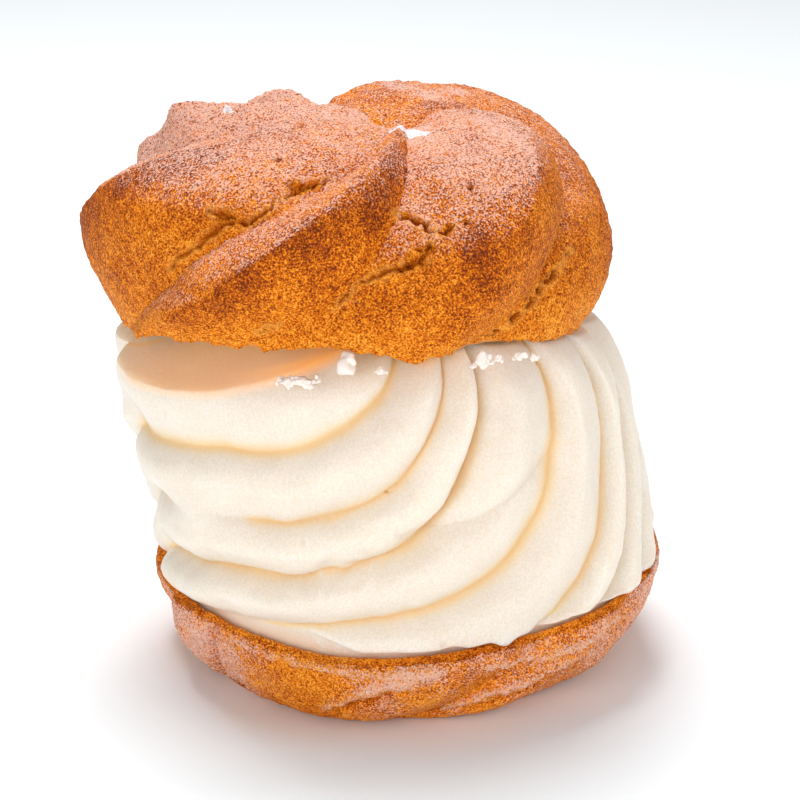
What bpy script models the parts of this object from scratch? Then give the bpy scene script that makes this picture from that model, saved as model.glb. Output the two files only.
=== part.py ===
"""A cream puff: a piped choux rosette, baked, cut across and filled with a swirl of whipped cream.

Three solids make it: the fluted lower shell, the cream that stands in it, and the petalled lid
that sits on the cream. Each starts as a UV sphere. A vertex of that sphere has an azimuth, and a
run from 0 at the upper pole to 1 at the lower pole, and a function of those two places it.

All sizes below are in millimetres and degrees. METRE turns them into Blender's units.
The origin is the middle of the shell's flat underside, +Z is up, and the front is towards -Y.
"""

import bmesh
import bpy
import numpy as np

METRE = 0.001
COLLECTION_NAME = "cream_puff"
GAP = 0.6                    # clearance where two pieces lie against each other

# Lower shell: a shallow fluted bowl
SHELL_RADIUS = 39.6          # outer radius at the rim, between crest and crease
SHELL_FOOT_RADIUS = 30.5     # edge of the flat underside
SHELL_FOOT_SHIFT = -2.0      # the foot stands this far to the left of the rim's middle
SHELL_RIM_HEIGHT = 17.0      # mean height of the cut rim
SHELL_RIM_TILT_X = 1.3       # the cut rises by this much towards +X
SHELL_RIM_TILT_Y = 3.0       # and by this much towards the back
SHELL_WALL = 1.4             # thickness of the wall at the rim
SHELL_FLOOR = 5.0            # height of the floor inside
SHELL_DISH_SQUARENESS = 2.4  # superellipse power of the inside
SHELL_WALL_SQUARENESS = 1.5  # and of the outside
SHELL_RIM_BEVEL = 0.8        # how far the rim's outer edge lies below its inner edge
SHELL_RIM_WAVES = 5          # low waves round the rim
SHELL_RIM_WAVE_HEIGHT = 0.5
SHELL_FLUTE_DEPTH = 2.8      # crease to crest
SHELL_FLUTE_ROUNDNESS = 1.6  # 1 is a plain ridge, 2 a round one
# One row for each flute, anticlockwise: the azimuth of the crease on its clockwise side at the
# foot and at the rim, and the azimuth of its crest there
SHELL_FLUTES = (
    (-142.0, -138.0, -118.0, -72.0),
    (-102.0, -56.0, -84.0, -42.0),
    (-66.0, -28.0, -44.0, -10.0),
    (-24.0, 12.0, -2.0, 32.0),
    (22.0, 58.0, 42.0, 80.0),
    (66.0, 102.0, 88.0, 128.0),
    (112.0, 152.0, 140.0, 182.0),
    (166.0, 200.0, 192.0, 208.0),
)
# One row for each swelling or dent of the wall: its level from 0 at the foot to 1 at the rim,
# how far it reaches up and down, its azimuth, its width, and its height
SHELL_SWELLS = (
    (0.4, 0.4, -165.0, 25.0, -1.4),
    (0.0, 0.5, -20.0, 30.0, -2.0),
    (0.0, 0.5, -80.0, 30.0, -0.8),
)
SHELL_FOOT_LEVEL = 0.43      # the flutes die away below this level
SHELL_FLUTE_FADE = 0.6       # the share of their depth that the flutes lose at the thin rim
SHELL_FADE_LEVEL = 0.75      # from this level up

# Cream: a leaning drum of piped ridges
CREAM_RADIUS = 40.4          # out to the crests of the ridges
CREAM_SHOULDER_HEIGHT = 40.0  # where the top starts to round over
CREAM_TOP_HEIGHT = 64.0      # of the free form, before the lid presses on it
CREAM_SQUARENESS = 3.0
CREAM_LEAN = -0.2            # sideways shift of the axis for each millimetre of height
CREAM_LEAN_START = 17.0      # height at which the lean begins
CREAM_RIDGE_DEPTH = 2.6      # crease to crest, round the back
CREAM_LIP_RISE = 1.2         # height over which the cream swells out across the shell's rim
CREAM_LEDGE = (66.4, 0.33, 0.1)  # its top is a plane: height on the axis, rise to +X and to +Y
CREAM_CROWN = 66.0           # height at which the creases' top azimuths are measured
CREAM_RIDGES_ROUND = 15      # ridges counted once round the drum
CREAM_RIDGE_ABOVE = 12.0     # height of a ridge above the topmost crease
CREAM_RIDGE_BELOW = 20.0     # and below the lowest one
CREAM_RISE_AHEAD = 3.0       # a crease climbs this much for each degree past its top
# One row for each crease on the front, from left to right: the height it levels out to, its
# azimuth at the crown, the angle in which it falls away, how suddenly it does so, and its depth
CREAM_CREASES = (
    (64.0, -62.0, 30.0, 1.0, 0.5),
    (42.5, -70.0, 20.0, 0.95, 3.0),
    (33.0, -58.5, 20.0, 1.15, 3.4),
    (23.2, -54.0, 18.5, 0.9, 4.2),
    (12.4, -36.0, 18.5, 0.6, 3.6),
    (6.5, -21.5, 12.5, 0.53, 2.8),
    (3.5, -8.5, 14.0, 0.53, 2.4),
    (1.0, 3.5, 16.0, 0.53, 2.2),
    (-1.0, 16.0, 17.0, 0.55, 2.2),
    (-3.0, 28.0, 17.0, 0.55, 2.2),
)
CREAM_SETTLE_AZIMUTH = -125.0      # to the left of this every crease sinks
CREAM_SETTLE_SLOPE = 0.07          # by this much for each degree
CREAM_LEAST_RIDGE = 1.2            # two creases are never closer together in height
CREAM_CROWDING = (0.6, 0.2)        # ridges to the millimetre where creases are gone, and whole
CREAM_MERGED_CREASE = 2            # this one fades out for a little, where two ridges merge
CREAM_MERGE_AZIMUTH = -138.0
CREAM_MERGE_REACH = (0.0, 24.0)    # the angles to either side where it is gone, and is whole
# One row for each swelling or dent of the side: its height, how far it reaches up and down,
# its azimuth, its width, and how far it stands out
CREAM_SWELLS = (
    (28.0, 8.0, -165.0, 22.0, -1.7),
    (43.5, 3.5, -168.0, 16.0, -1.3),
)
# A shallow fold that runs up to the right between two creases: the azimuths of its ends, the
# heights of its ends, how late it rises, its half width and its depth
CREAM_FOLD = (-88.0, -43.0, 33.4, 42.4, 1.7, 4.5, 1.7)
CREAM_FRONT_START = -165.0   # the creases above hold from here
CREAM_FRONT_END = -10.0      # to here, and the ridges run evenly round the back

# Lid: a domed rosette of six petals
LID_CENTRE = (-9.6, 0.0)
LID_EYE = (9.0, -3.0)        # the point where the petals meet, from the lid's centre
LID_EYE_DIP = 4.0
LID_EYE_WIDTH = 7.0
LID_RADIUS = 38.5            # at the widest level, between crest and crease
LID_WIDEST_HEIGHT = 66.5     # height of that level
LID_DOME_RISE = 22.0         # from there to the top
LID_DOME_SQUARENESS = 2.5
LID_CUT_HEIGHT = 58.5        # height of the cut edge at the front
LID_ARCH = 3.0               # and how much lower it is at the left and the right
LID_TILT = -0.08             # the lid leans back: height gained for each millimetre towards +Y
LID_CUT_RADIUS = 36.0        # outer radius at the cut edge
LID_HOLLOW_RADIUS = 32.0
LID_HOLLOW_RISE = 7.0        # height of the hollow above the cut
LID_CREASE_DEPTH = 3.0       # how far the creases lie under the plain dome
LID_DOME_TURN = 0.78         # the share of a petal's turn that it makes on the dome
# One row for each petal, anticlockwise: the azimuth of the crease on its clockwise side at the
# eye and at the cut edge, and how late it turns; the same three for its crest; the height of
# the crest above the creases, and how round it is (1 is a plain ridge)
LID_PETALS = (
    (-82.0, -158.0, 1.5, -79.0, -146.0, 2.2, 5.2, 1.3),
    (-74.0, -110.0, 3.6, 44.0, -69.0, 0.42, 6.0, 1.3),
    (46.0, -57.0, 1.0, 98.0, -22.0, 1.15, 6.3, 1.5),
    (125.0, 20.0, 1.7, 140.0, 50.0, 1.4, 6.2, 1.3),
    (160.0, 84.0, 1.6, 171.0, 108.0, 2.0, 6.6, 1.0),
    (190.0, 130.0, 1.7, 222.0, 145.0, 1.9, 5.8, 1.0),
)
# One row for each swelling or dent of the dome: its turn from 0 at the eye to 1 at the cut edge,
# its azimuth, its radius and its height
LID_SWELLS = (
    (0.34, 161.0, 4.0, 1.8),
    (0.49, 161.0, 6.5, -2.0),
    (0.42, 40.0, 12.0, 1.6),
    (0.20, 94.0, 5.0, 1.4),
    (0.16, 126.0, 4.0, -1.6),
    (0.30, -146.0, 7.0, -1.5),
    (0.24, -84.0, 5.0, -1.0),
    (0.34, -68.0, 5.0, 1.8),
)
LID_EDGE_SAGS = ((-68.0, 9.0, 1.2), (-137.0, 12.0, -0.6))  # azimuth, width and depth of each

# The runs at which each zone of a solid gives way to the next: the shell's dish, rim, wall and
# underside, the cream's top, side and foot, and the lid's dome, skirt, cut and hollow
SHELL_ZONES = (0.42, 0.50, 0.86)
CREAM_ZONES = (0.36, 0.74)
LID_ZONES = (0.52, 0.68, 0.74)

# Faces round and along each sphere, and the triangles that are left when it is thinned out
SHELL_GRID = (180, 60)
CREAM_GRID = (240, 100)
LID_GRID = (240, 90)
SHELL_TRIANGLES = 2000
CREAM_TRIANGLES = 4300
LID_TRIANGLES = 3300

CRUST_COLOR = (0.62, 0.22, 0.035, 1.0)
SHELL_COLOR = (0.70, 0.31, 0.085, 1.0)
CREAM_COLOR = (0.90, 0.80, 0.66, 1.0)


def smooth_step(low, high, value):
    """0 below low, 1 above high, and an even S curve between."""
    share = np.clip((value - low) / (high - low), 0.0, 1.0)
    return share * share * (3.0 - 2.0 * share)


def stretch(value, start, end):
    """The share of the way from start to end, held between 0 and 1."""
    return np.clip((value - start) / (end - start), 0.0, 1.0)


def zone_shares(run, borders):
    """For each zone of a solid, the share of it that lies behind a run."""
    return [stretch(run, start, end) for start, end in zip((0.0, *borders), (*borders, 1.0))]


def quarter_arc(share, power):
    """A superellipse's quarter: (0, 1) at share 0 and (1, 0) at share 1."""
    angle = share * np.pi / 2
    reach = np.sin(angle) ** (2.0 / power)
    rise = np.clip(np.cos(angle), 0.0, 1.0) ** (2.0 / power)
    return reach, rise


def angle_between(first, second):
    """The smaller angle between two azimuths."""
    return np.abs((first - second + 180.0) % 360.0 - 180.0)


def petal_height(azimuth, petals):
    """0 in a crease, and each petal's own height on its crest.

    A petal is its crease, its crest, its height and its roundness, and they follow each other
    anticlockwise.
    """
    height = np.zeros_like(azimuth)
    for index, (crease, crest, rise, roundness) in enumerate(petals):
        following = petals[(index + 1) % len(petals)][0]
        offset = (azimuth - crease) % 360.0
        flank = (crest - crease) % 360.0
        width = (following - crease) % 360.0
        share = np.minimum(offset / flank, (width - offset) / (width - flank))
        rounded = 1.0 - (1.0 - np.clip(share, 0.0, 1.0)) ** roundness
        height = np.where(offset < width, rise * rounded, height)
    return height


# ---------------------------------------------------------------- lower shell

def shell_rim_height(azimuth):
    """Height of the cut rim of the lower shell."""
    angle = np.radians(azimuth)
    tilt = SHELL_RIM_TILT_X * np.cos(angle) + SHELL_RIM_TILT_Y * np.sin(angle)
    wave = SHELL_RIM_WAVE_HEIGHT * np.sin(SHELL_RIM_WAVES * angle + 1.0)
    return SHELL_RIM_HEIGHT + tilt + wave


def shell_flute_rows(level):
    """The flutes as petals, at a level from 0 at the foot to 1 at the rim."""
    flutes = []
    for crease_foot, crease_rim, crest_foot, crest_rim in SHELL_FLUTES:
        crease = crease_foot + (crease_rim - crease_foot) * level
        crest = crest_foot + (crest_rim - crest_foot) * level
        flutes.append((crease, crest, SHELL_FLUTE_DEPTH, SHELL_FLUTE_ROUNDNESS))
    return flutes


def shell_relief(azimuth, level):
    """How far the outer wall stands out: its flutes, and its swellings and dents."""
    relief = petal_height(azimuth, shell_flute_rows(level)) - SHELL_FLUTE_DEPTH / 2
    relief = relief * smooth_step(0.0, SHELL_FOOT_LEVEL, level)
    relief = relief * (1.0 - SHELL_FLUTE_FADE * smooth_step(SHELL_FADE_LEVEL, 1.0, level))
    for middle, reach, middle_azimuth, width, swell in SHELL_SWELLS:
        aside = angle_between(azimuth, middle_azimuth) / width
        above = (level - middle) / reach
        relief = relief + swell * np.exp(-aside ** 2 - above ** 2)
    return relief


def dish_profile(azimuth, share, clearance):
    """Radius and height of the shell's inside, from its middle (0) to its rim (1)."""
    rim = shell_rim_height(azimuth)
    reach, drop = quarter_arc(share, SHELL_DISH_SQUARENESS)
    radius = (SHELL_RADIUS - SHELL_WALL - clearance) * reach
    floor = SHELL_FLOOR + clearance
    return radius, rim - (rim - floor) * drop


def shell_points(azimuth, run):
    """The dish, over the rim, down the fluted wall and across the flat underside."""
    dish, rim, wall, underside = zone_shares(run, SHELL_ZONES)
    rim_height = shell_rim_height(azimuth)
    radius, height = dish_profile(azimuth, dish, 0.0)
    radius = radius + SHELL_WALL * rim
    height = height - SHELL_RIM_BEVEL * rim * rim
    drop, stay = quarter_arc(wall, SHELL_WALL_SQUARENESS)
    foot_reach = SHELL_FOOT_RADIUS + (SHELL_RADIUS - SHELL_FOOT_RADIUS) * stay
    radius = np.where(wall > 0, foot_reach, radius)
    height = np.where(wall > 0, (rim_height - SHELL_RIM_BEVEL) * (1.0 - drop), height)
    relief = shell_relief(azimuth, (1.0 - wall) ** 0.7)
    radius = radius + relief * smooth_step(0.2, 1.0, rim)
    radius = radius * (1.0 - underside)
    height = np.where(underside > 0, 0.0, height)
    return polar_points(azimuth, radius, height, SHELL_FOOT_SHIFT * smooth_step(0.0, 1.0, wall))


# ---------------------------------------------------------------------- cream

def crease_height(azimuth, level, top, sweep, suddenness, _depth):
    """Height of one crease of the cream at an azimuth, on the front."""
    back = np.clip(top - azimuth, 0.0, None) / sweep
    ahead = np.clip(azimuth - top, 0.0, None)
    fall = np.exp(-back ** suddenness)
    settled = CREAM_SETTLE_SLOPE * np.clip(CREAM_SETTLE_AZIMUTH - azimuth, 0.0, None)
    return level + (CREAM_CROWN - level) * fall + CREAM_RISE_AHEAD * ahead - settled


def front_ridge_count(azimuth, height):
    """How many creases lie before a point of the front, counted as a smooth number."""
    count = np.zeros_like(azimuth)
    upper = crease_height(azimuth, *CREAM_CREASES[0])
    count = count - np.clip(height - upper, 0.0, None) / CREAM_RIDGE_ABOVE
    for lower_crease in CREAM_CREASES[1:]:
        lower = np.minimum(crease_height(azimuth, *lower_crease), upper - CREAM_LEAST_RIDGE)
        count = count + np.clip((upper - height) / (upper - lower), 0.0, 1.0)
        upper = lower
    return count + np.clip(upper - height, 0.0, None) / CREAM_RIDGE_BELOW


def ridge_count(azimuth, height):
    """The count all round: the front's, and an even run behind that joins its two ends."""
    turn = (azimuth - CREAM_FRONT_START) % 360.0
    front_width = CREAM_FRONT_END - CREAM_FRONT_START
    front = front_ridge_count(np.minimum(turn, front_width) + CREAM_FRONT_START, height)
    start = front_ridge_count(np.full_like(height, CREAM_FRONT_START), height)
    rest = CREAM_RIDGES_ROUND + start - front
    share = stretch(turn, front_width, 360.0)
    return front + rest * np.where(turn > front_width, share, 0.0)


def ridge_relief(azimuth, height):
    """Relief of the cream: 0 on the crest of a ridge and minus the depth in a crease."""
    count = ridge_count(azimuth, height)
    nearest = np.round(count)
    depth = np.full_like(height, CREAM_RIDGE_DEPTH)
    for index, crease in enumerate(CREAM_CREASES):
        depth = np.where(nearest == index, crease[-1], depth)
    aside = angle_between(azimuth, CREAM_MERGE_AZIMUTH)
    merged = nearest % CREAM_RIDGES_ROUND == CREAM_MERGED_CREASE
    depth = np.where(merged, depth * smooth_step(*CREAM_MERGE_REACH, aside), depth)
    crowding = ridge_count(azimuth, height - 0.5) - ridge_count(azimuth, height + 0.5)
    depth = depth * smooth_step(*CREAM_CROWDING, crowding)
    ridges = depth * (1.0 - 2.0 * np.abs(count - nearest)) ** 2
    return side_swell(azimuth, height) - ridges


def side_swell(azimuth, height):
    """How far the cream's side stands out in its swellings, less the shallow fold."""
    start, end, low, high, lateness, half_width, depth = CREAM_FOLD
    share = stretch(azimuth, start, end)
    off = np.abs(height - low - (high - low) * share ** lateness) / half_width
    fold = depth * (4.0 * share * (1.0 - share)) ** 0.5 * np.clip(1.0 - off, 0.0, 1.0) ** 2
    swell = -fold
    for middle, reach, middle_azimuth, width, rise in CREAM_SWELLS:
        aside = angle_between(azimuth, middle_azimuth) / width
        above = (height - middle) / reach
        swell = swell + rise * np.exp(-aside ** 2 - above ** 2)
    return swell


def lid_arch(x):
    """How much lower the cut lies at x than in the lid's middle."""
    return LID_ARCH * ((x - LID_CENTRE[0]) / LID_CUT_RADIUS) ** 2


def lid_sag(azimuth):
    """How much lower or higher the cut hangs at an azimuth of the lid."""
    sag = np.zeros_like(azimuth)
    for middle, width, depth in LID_EDGE_SAGS:
        sag = sag + depth * np.exp(-(angle_between(azimuth, middle) / width) ** 2)
    return sag


def cream_ceiling(x, y):
    """Height to which the cream may rise: its own top, the lid's hollow or the cut round it."""
    away_x, away_y = x - LID_CENTRE[0], y - LID_CENTRE[1]
    distance = np.hypot(away_x, away_y) / (LID_HOLLOW_RADIUS - GAP)
    rise = LID_HOLLOW_RISE * np.sqrt(np.clip(1.0 - distance ** 2, 0.0, 1.0))
    droop = lid_arch(x) + lid_sag(np.degrees(np.arctan2(away_y, away_x)))
    lid = LID_CUT_HEIGHT + rise - droop + LID_TILT * y - GAP
    level, rise_x, rise_y = CREAM_LEDGE
    return np.minimum(lid, level + rise_x * x + rise_y * y)


def cream_points(azimuth, run):
    """The rounded top under the lid, the ridged side, and the foot that fills the shell."""
    top, side, foot = zone_shares(run, CREAM_ZONES)
    rim = shell_rim_height(azimuth) + GAP
    reach, rise = quarter_arc(top, CREAM_SQUARENESS)
    height = CREAM_SHOULDER_HEIGHT + (CREAM_TOP_HEIGHT - CREAM_SHOULDER_HEIGHT) * rise
    height = height - (CREAM_SHOULDER_HEIGHT - rim) * side
    inner_radius, inner_height = dish_profile(azimuth, 1.0 - foot, GAP)
    above_rim = smooth_step(0.0, CREAM_LIP_RISE, height - rim)
    relief = ridge_relief(azimuth, height) * smooth_step(0.4, 0.85, reach)
    swollen = (CREAM_RADIUS + relief) * reach
    radius = inner_radius + (swollen - inner_radius) * above_rim
    radius = np.where(foot > 0, inner_radius, radius)
    height = np.where(foot > 0, inner_height, height)
    lean = CREAM_LEAN * np.clip(height - CREAM_LEAN_START, 0.0, None)
    points = polar_points(azimuth, radius, height, lean)
    points[..., 2] = np.minimum(points[..., 2], cream_ceiling(points[..., 0], points[..., 1]))
    return points


# ------------------------------------------------------------------------ lid

def lid_petal_rows(turn):
    """The petals at a turn, from 0 at the eye to 1 at the cut edge."""
    petals = []
    for row in LID_PETALS:
        crease_eye, crease_cut, crease_lateness, crest_eye, crest_cut, crest_lateness = row[:6]
        crease = crease_eye + (crease_cut - crease_eye) * turn ** crease_lateness
        crest = crest_eye + (crest_cut - crest_eye) * turn ** crest_lateness
        petals.append((crease, crest, *row[6:]))
    return petals


def lid_turn(run):
    """How far out along its petals a point of the lid lies."""
    dome, skirt = zone_shares(run, LID_ZONES)[:2]
    return LID_DOME_TURN * dome + (1.0 - LID_DOME_TURN) * skirt


def run_at_turn(turn):
    """The run at which the lid has made a turn."""
    dome = stretch(turn, 0.0, LID_DOME_TURN)
    skirt = stretch(turn, LID_DOME_TURN, 1.0)
    return LID_ZONES[0] * dome + (LID_ZONES[1] - LID_ZONES[0]) * skirt


def lid_form(azimuth, run, relief):
    """The lid with its outer skin raised by relief: dome, skirt, cut face and hollow."""
    dome, skirt, cut, hollow = zone_shares(run, LID_ZONES)
    reach, rise = quarter_arc(dome, LID_DOME_SQUARENESS)
    angle = dome * np.pi / 2
    eye_share = 1.0 - reach
    radius = LID_RADIUS * reach
    height = LID_WIDEST_HEIGHT + LID_DOME_RISE * rise
    height = height - LID_EYE_DIP * np.exp(-(radius / LID_EYE_WIDTH) ** 2)
    radius = radius - (LID_RADIUS - LID_CUT_RADIUS) * skirt ** 1.6 + relief * np.sin(angle)
    height = height - (LID_WIDEST_HEIGHT - LID_CUT_HEIGHT) * skirt + relief * np.cos(angle)
    inward, upward = quarter_arc(1.0 - hollow, 2.0)
    radius = radius + (LID_HOLLOW_RADIUS - radius) * cut
    radius = np.where(hollow > 0, LID_HOLLOW_RADIUS * inward, radius)
    height = np.where(hollow > 0, LID_CUT_HEIGHT + LID_HOLLOW_RISE * upward, height)
    points = polar_points(azimuth, radius, height, LID_CENTRE[0] + LID_EYE[0] * eye_share)
    points[..., 1] += LID_CENTRE[1] + LID_EYE[1] * eye_share
    points[..., 2] += LID_TILT * points[..., 1]
    points[..., 2] -= (lid_arch(points[..., 0]) + lid_sag(azimuth)) * skirt
    return points


def lid_points(azimuth, run):
    """The lid with its petals, and the swellings and dents of its dome."""
    dome, skirt, cut = zone_shares(run, LID_ZONES)[:3]
    petals = petal_height(azimuth, lid_petal_rows(lid_turn(run))) - LID_CREASE_DEPTH
    relief = petals * smooth_step(0.0, 0.5, dome) * (1.0 - 0.5 * skirt)
    plain = lid_form(azimuth, run, 0.0)
    for turn, middle_azimuth, reach, swell in LID_SWELLS:
        middle = lid_form(np.array([middle_azimuth]), np.array([run_at_turn(turn)]), 0.0)[0]
        distance = np.linalg.norm(plain - middle, axis=-1)
        relief = relief + swell * np.exp(-(distance / reach) ** 2)
    return lid_form(azimuth, run, relief * (1.0 - cut))


# ------------------------------------------------------------ building blocks

def polar_points(azimuth, radius, height, shift_x=0.0):
    """Points from an azimuth, a radius and a height, moved sideways by shift_x."""
    angle = np.radians(azimuth)
    return np.stack((shift_x + radius * np.cos(angle), radius * np.sin(angle), height), axis=-1)


def shaped_sphere(name, grid, triangles, place, material):
    """A closed solid: a UV sphere whose vertices go where the function place puts them.

    The sphere is fine enough for every crease, and is then thinned out to about the number of
    triangles given, which leaves most of them along the creases and the edges.
    """
    around, along = grid
    form = bmesh.new()
    bmesh.ops.create_uvsphere(form, u_segments=around, v_segments=along, radius=1.0)
    corners = np.array([vertex.co for vertex in form.verts])
    azimuth = np.degrees(np.arctan2(corners[:, 1], corners[:, 0]))
    run = np.arccos(np.clip(corners[:, 2], -1.0, 1.0)) / np.pi
    for vertex, point in zip(form.verts, place(azimuth, run) * METRE):
        vertex.co = point
    bmesh.ops.triangulate(form, faces=form.faces)
    bmesh.ops.recalc_face_normals(form, faces=form.faces)
    mesh = bpy.data.meshes.new(name)
    form.to_mesh(mesh)
    form.free()
    mesh.shade_smooth()
    mesh.set_sharp_from_angle(angle=np.radians(50.0))
    mesh.materials.append(material)
    solid = bpy.data.objects.new(name, mesh)
    bpy.data.collections[COLLECTION_NAME].objects.link(solid)
    thinning = solid.modifiers.new("thinning", "DECIMATE")
    thinning.ratio = triangles / len(mesh.polygons)
    return solid


def plain_material(name, color, roughness):
    """A Principled material of one colour."""
    material = bpy.data.materials.new(name)
    material.use_nodes = True
    shader = material.node_tree.nodes["Principled BSDF"]
    shader.inputs["Base Color"].default_value = color
    shader.inputs["Roughness"].default_value = roughness
    shader.inputs["Metallic"].default_value = 0.0
    return material


def clear_scene():
    """Remove every object of the scene, and make the collection for the cream puff."""
    for item in list(bpy.data.objects):
        bpy.data.objects.remove(item, do_unlink=True)
    collection = bpy.data.collections.new(COLLECTION_NAME)
    bpy.context.scene.collection.children.link(collection)


def main():
    clear_scene()
    shaped_sphere("shell_bottom", SHELL_GRID, SHELL_TRIANGLES, shell_points,
                  plain_material("baked_base_crust", SHELL_COLOR, 0.75))
    shaped_sphere("cream_filling", CREAM_GRID, CREAM_TRIANGLES, cream_points,
                  plain_material("whipped_cream", CREAM_COLOR, 0.45))
    shaped_sphere("shell_lid", LID_GRID, LID_TRIANGLES, lid_points,
                  plain_material("baked_lid_crust", CRUST_COLOR, 0.7))


main()
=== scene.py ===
"""A cream puff: a petalled choux lid, a swirl of piped cream and a fluted lower shell.

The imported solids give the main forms. This file lays the finished skins over them: the same
shapes in a fine mesh, with the cracks and blisters of baked choux, the ragged cut edges, the
fine streaks of piped cream, loose crumbs and a dusting of icing sugar.

Sizes inside the shape functions are in millimetres and degrees, as in the solids. METRE turns
them into Blender's units. The front is towards -Y.
"""

import math

import bpy
import numpy as np
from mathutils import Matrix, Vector


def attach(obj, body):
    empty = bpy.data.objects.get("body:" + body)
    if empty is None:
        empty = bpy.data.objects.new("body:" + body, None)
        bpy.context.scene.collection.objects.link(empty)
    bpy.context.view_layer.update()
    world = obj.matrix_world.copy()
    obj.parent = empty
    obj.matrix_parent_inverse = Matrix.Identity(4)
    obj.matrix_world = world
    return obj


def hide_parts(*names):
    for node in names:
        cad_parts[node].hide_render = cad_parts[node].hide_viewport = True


bl_info = {
    "name": "Cream Puff",
    "version": (1, 0, 0),
    "blender": (4, 5, 0),
    "location": "3D View > Sidebar > Cream Puff",
    "description": "Dresses the solids of a cream puff with crust, piped cream and sugar",
    "category": "Add Mesh",
}

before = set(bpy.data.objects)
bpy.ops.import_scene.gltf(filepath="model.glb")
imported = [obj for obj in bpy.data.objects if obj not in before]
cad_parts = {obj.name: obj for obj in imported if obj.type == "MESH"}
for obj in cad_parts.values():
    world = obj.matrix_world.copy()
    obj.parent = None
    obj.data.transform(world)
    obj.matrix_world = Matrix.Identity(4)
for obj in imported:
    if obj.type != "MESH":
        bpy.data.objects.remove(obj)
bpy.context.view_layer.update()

METRE = 0.001
GAP = 0.6                    # clearance where two pieces lie against each other

# Lower shell
SHELL_RADIUS = 39.6          # outer radius at the rim, between crest and crease
SHELL_FOOT_RADIUS = 30.5     # edge of the flat underside
SHELL_FOOT_SHIFT = -2.0      # the foot stands this far to the left of the rim's middle
SHELL_RIM_HEIGHT = 17.0      # mean height of the cut rim
SHELL_RIM_TILT_X = 1.3       # the cut rises by this much towards +X
SHELL_RIM_TILT_Y = 3.0       # and by this much towards the back
SHELL_WALL = 1.4             # thickness of the wall at the rim
SHELL_FLOOR = 5.0            # height of the floor inside
SHELL_DISH_SQUARENESS = 2.4
SHELL_WALL_SQUARENESS = 1.5
SHELL_RIM_BEVEL = 0.8
SHELL_RIM_WAVES = 5
SHELL_RIM_WAVE_HEIGHT = 0.5
SHELL_FLUTE_DEPTH = 2.8
SHELL_FLUTE_ROUNDNESS = 1.6
# One row for each flute: its crease at the foot and the rim, and its crest there
SHELL_FLUTES = (
    (-142.0, -138.0, -118.0, -72.0),
    (-102.0, -56.0, -84.0, -42.0),
    (-66.0, -28.0, -44.0, -10.0),
    (-24.0, 12.0, -2.0, 32.0),
    (22.0, 58.0, 42.0, 80.0),
    (66.0, 102.0, 88.0, 128.0),
    (112.0, 152.0, 140.0, 182.0),
    (166.0, 200.0, 192.0, 208.0),
)
# Swellings of the wall: the level, how far each reaches up and down, azimuth, width, height
SHELL_SWELLS = (
    (0.4, 0.4, -165.0, 25.0, -1.4),
    (0.0, 0.5, -20.0, 30.0, -2.0),
    (0.0, 0.5, -80.0, 30.0, -0.8),
)
SHELL_FOOT_LEVEL = 0.43      # the flutes die away below this level
SHELL_FLUTE_FADE = 0.6       # the share of their depth that the flutes lose at the rim
SHELL_FADE_LEVEL = 0.75      # from this level up
SHELL_ZONES = (0.42, 0.50, 0.86)

# Narrow ridges of the wall, and grooves. A point of each is the run and the azimuth where it
# lies on the shell, and its half width
SHELL_RIDGES = (
    ((0.535, -134.0, 0.4), (0.53, -121.0, 0.6), (0.532, -109.0, 0.6), (0.53, -96.0, 0.7),
     (0.535, -88.0, 0.7), (0.53, -80.0, 0.5)),
    ((0.697, -108.4, 0.5), (0.654, -104.8, 0.7), (0.625, -101.4, 0.7), (0.597, -98.6, 0.8),
     (0.579, -95.8, 0.9), (0.562, -90.3, 1.2), (0.528, -85.0, 1.0)),
    ((0.727, -77.9, 0.5), (0.700, -73.7, 0.6), (0.682, -69.4, 0.7), (0.664, -65.5, 0.7),
     (0.647, -61.3, 0.6), (0.627, -57.2, 0.6), (0.611, -52.8, 0.5), (0.60, -42.0, 0.4)),
    ((0.557, -72.0, 0.5), (0.575, -62.3, 0.6), (0.575, -55.9, 0.7), (0.565, -51.4, 0.7),
     (0.553, -44.0, 0.6), (0.54, -34.0, 0.5)),
    ((0.58, 20.0, 0.5), (0.60, 34.0, 0.7), (0.64, 46.0, 0.6), (0.70, 54.0, 0.4)),
    ((0.57, 118.0, 0.5), (0.60, 128.0, 0.7), (0.65, 138.0, 0.6), (0.71, 146.0, 0.4)),
)
SHELL_GROOVES = (
    ((0.52, -138.5, 0.7), (0.56, -140.0, 1.0), (0.62, -142.5, 1.0), (0.70, -145.3, 0.8),
     (0.80, -147.5, 0.5)),
    ((0.73, -106.0, 0.4), (0.67, -101.0, 0.6), (0.63, -96.0, 0.6), (0.60, -90.0, 0.5)),
    ((0.74, -72.0, 0.3), (0.71, -67.0, 0.5), (0.68, -61.0, 0.5), (0.65, -54.0, 0.4)),
)
# Where the shell's wall is thick with sugar, as a run, an azimuth and a radius
SHELL_SUGARED_PLACES = (
    (0.562, -91.0, 1.9), (0.545, -84.0, 1.6), (0.58, -158.0, 10.0), (0.68, -145.0, 8.0),
    (0.55, -20.0, 11.0), (0.56, -44.0, 6.0), (0.60, 0.0, 14.0), (0.54, -128.0, 2.0),
    (0.56, -60.0, 3.0), (0.66, -36.0, 5.0), (0.53, -6.0, 8.0), (0.60, -138.0, 6.0),
)

SHELL_AROUND = 500           # points in each row of the shell's skin
SHELL_ROWS = (22, 9, 84, 10)  # rows in each of its zones
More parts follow.
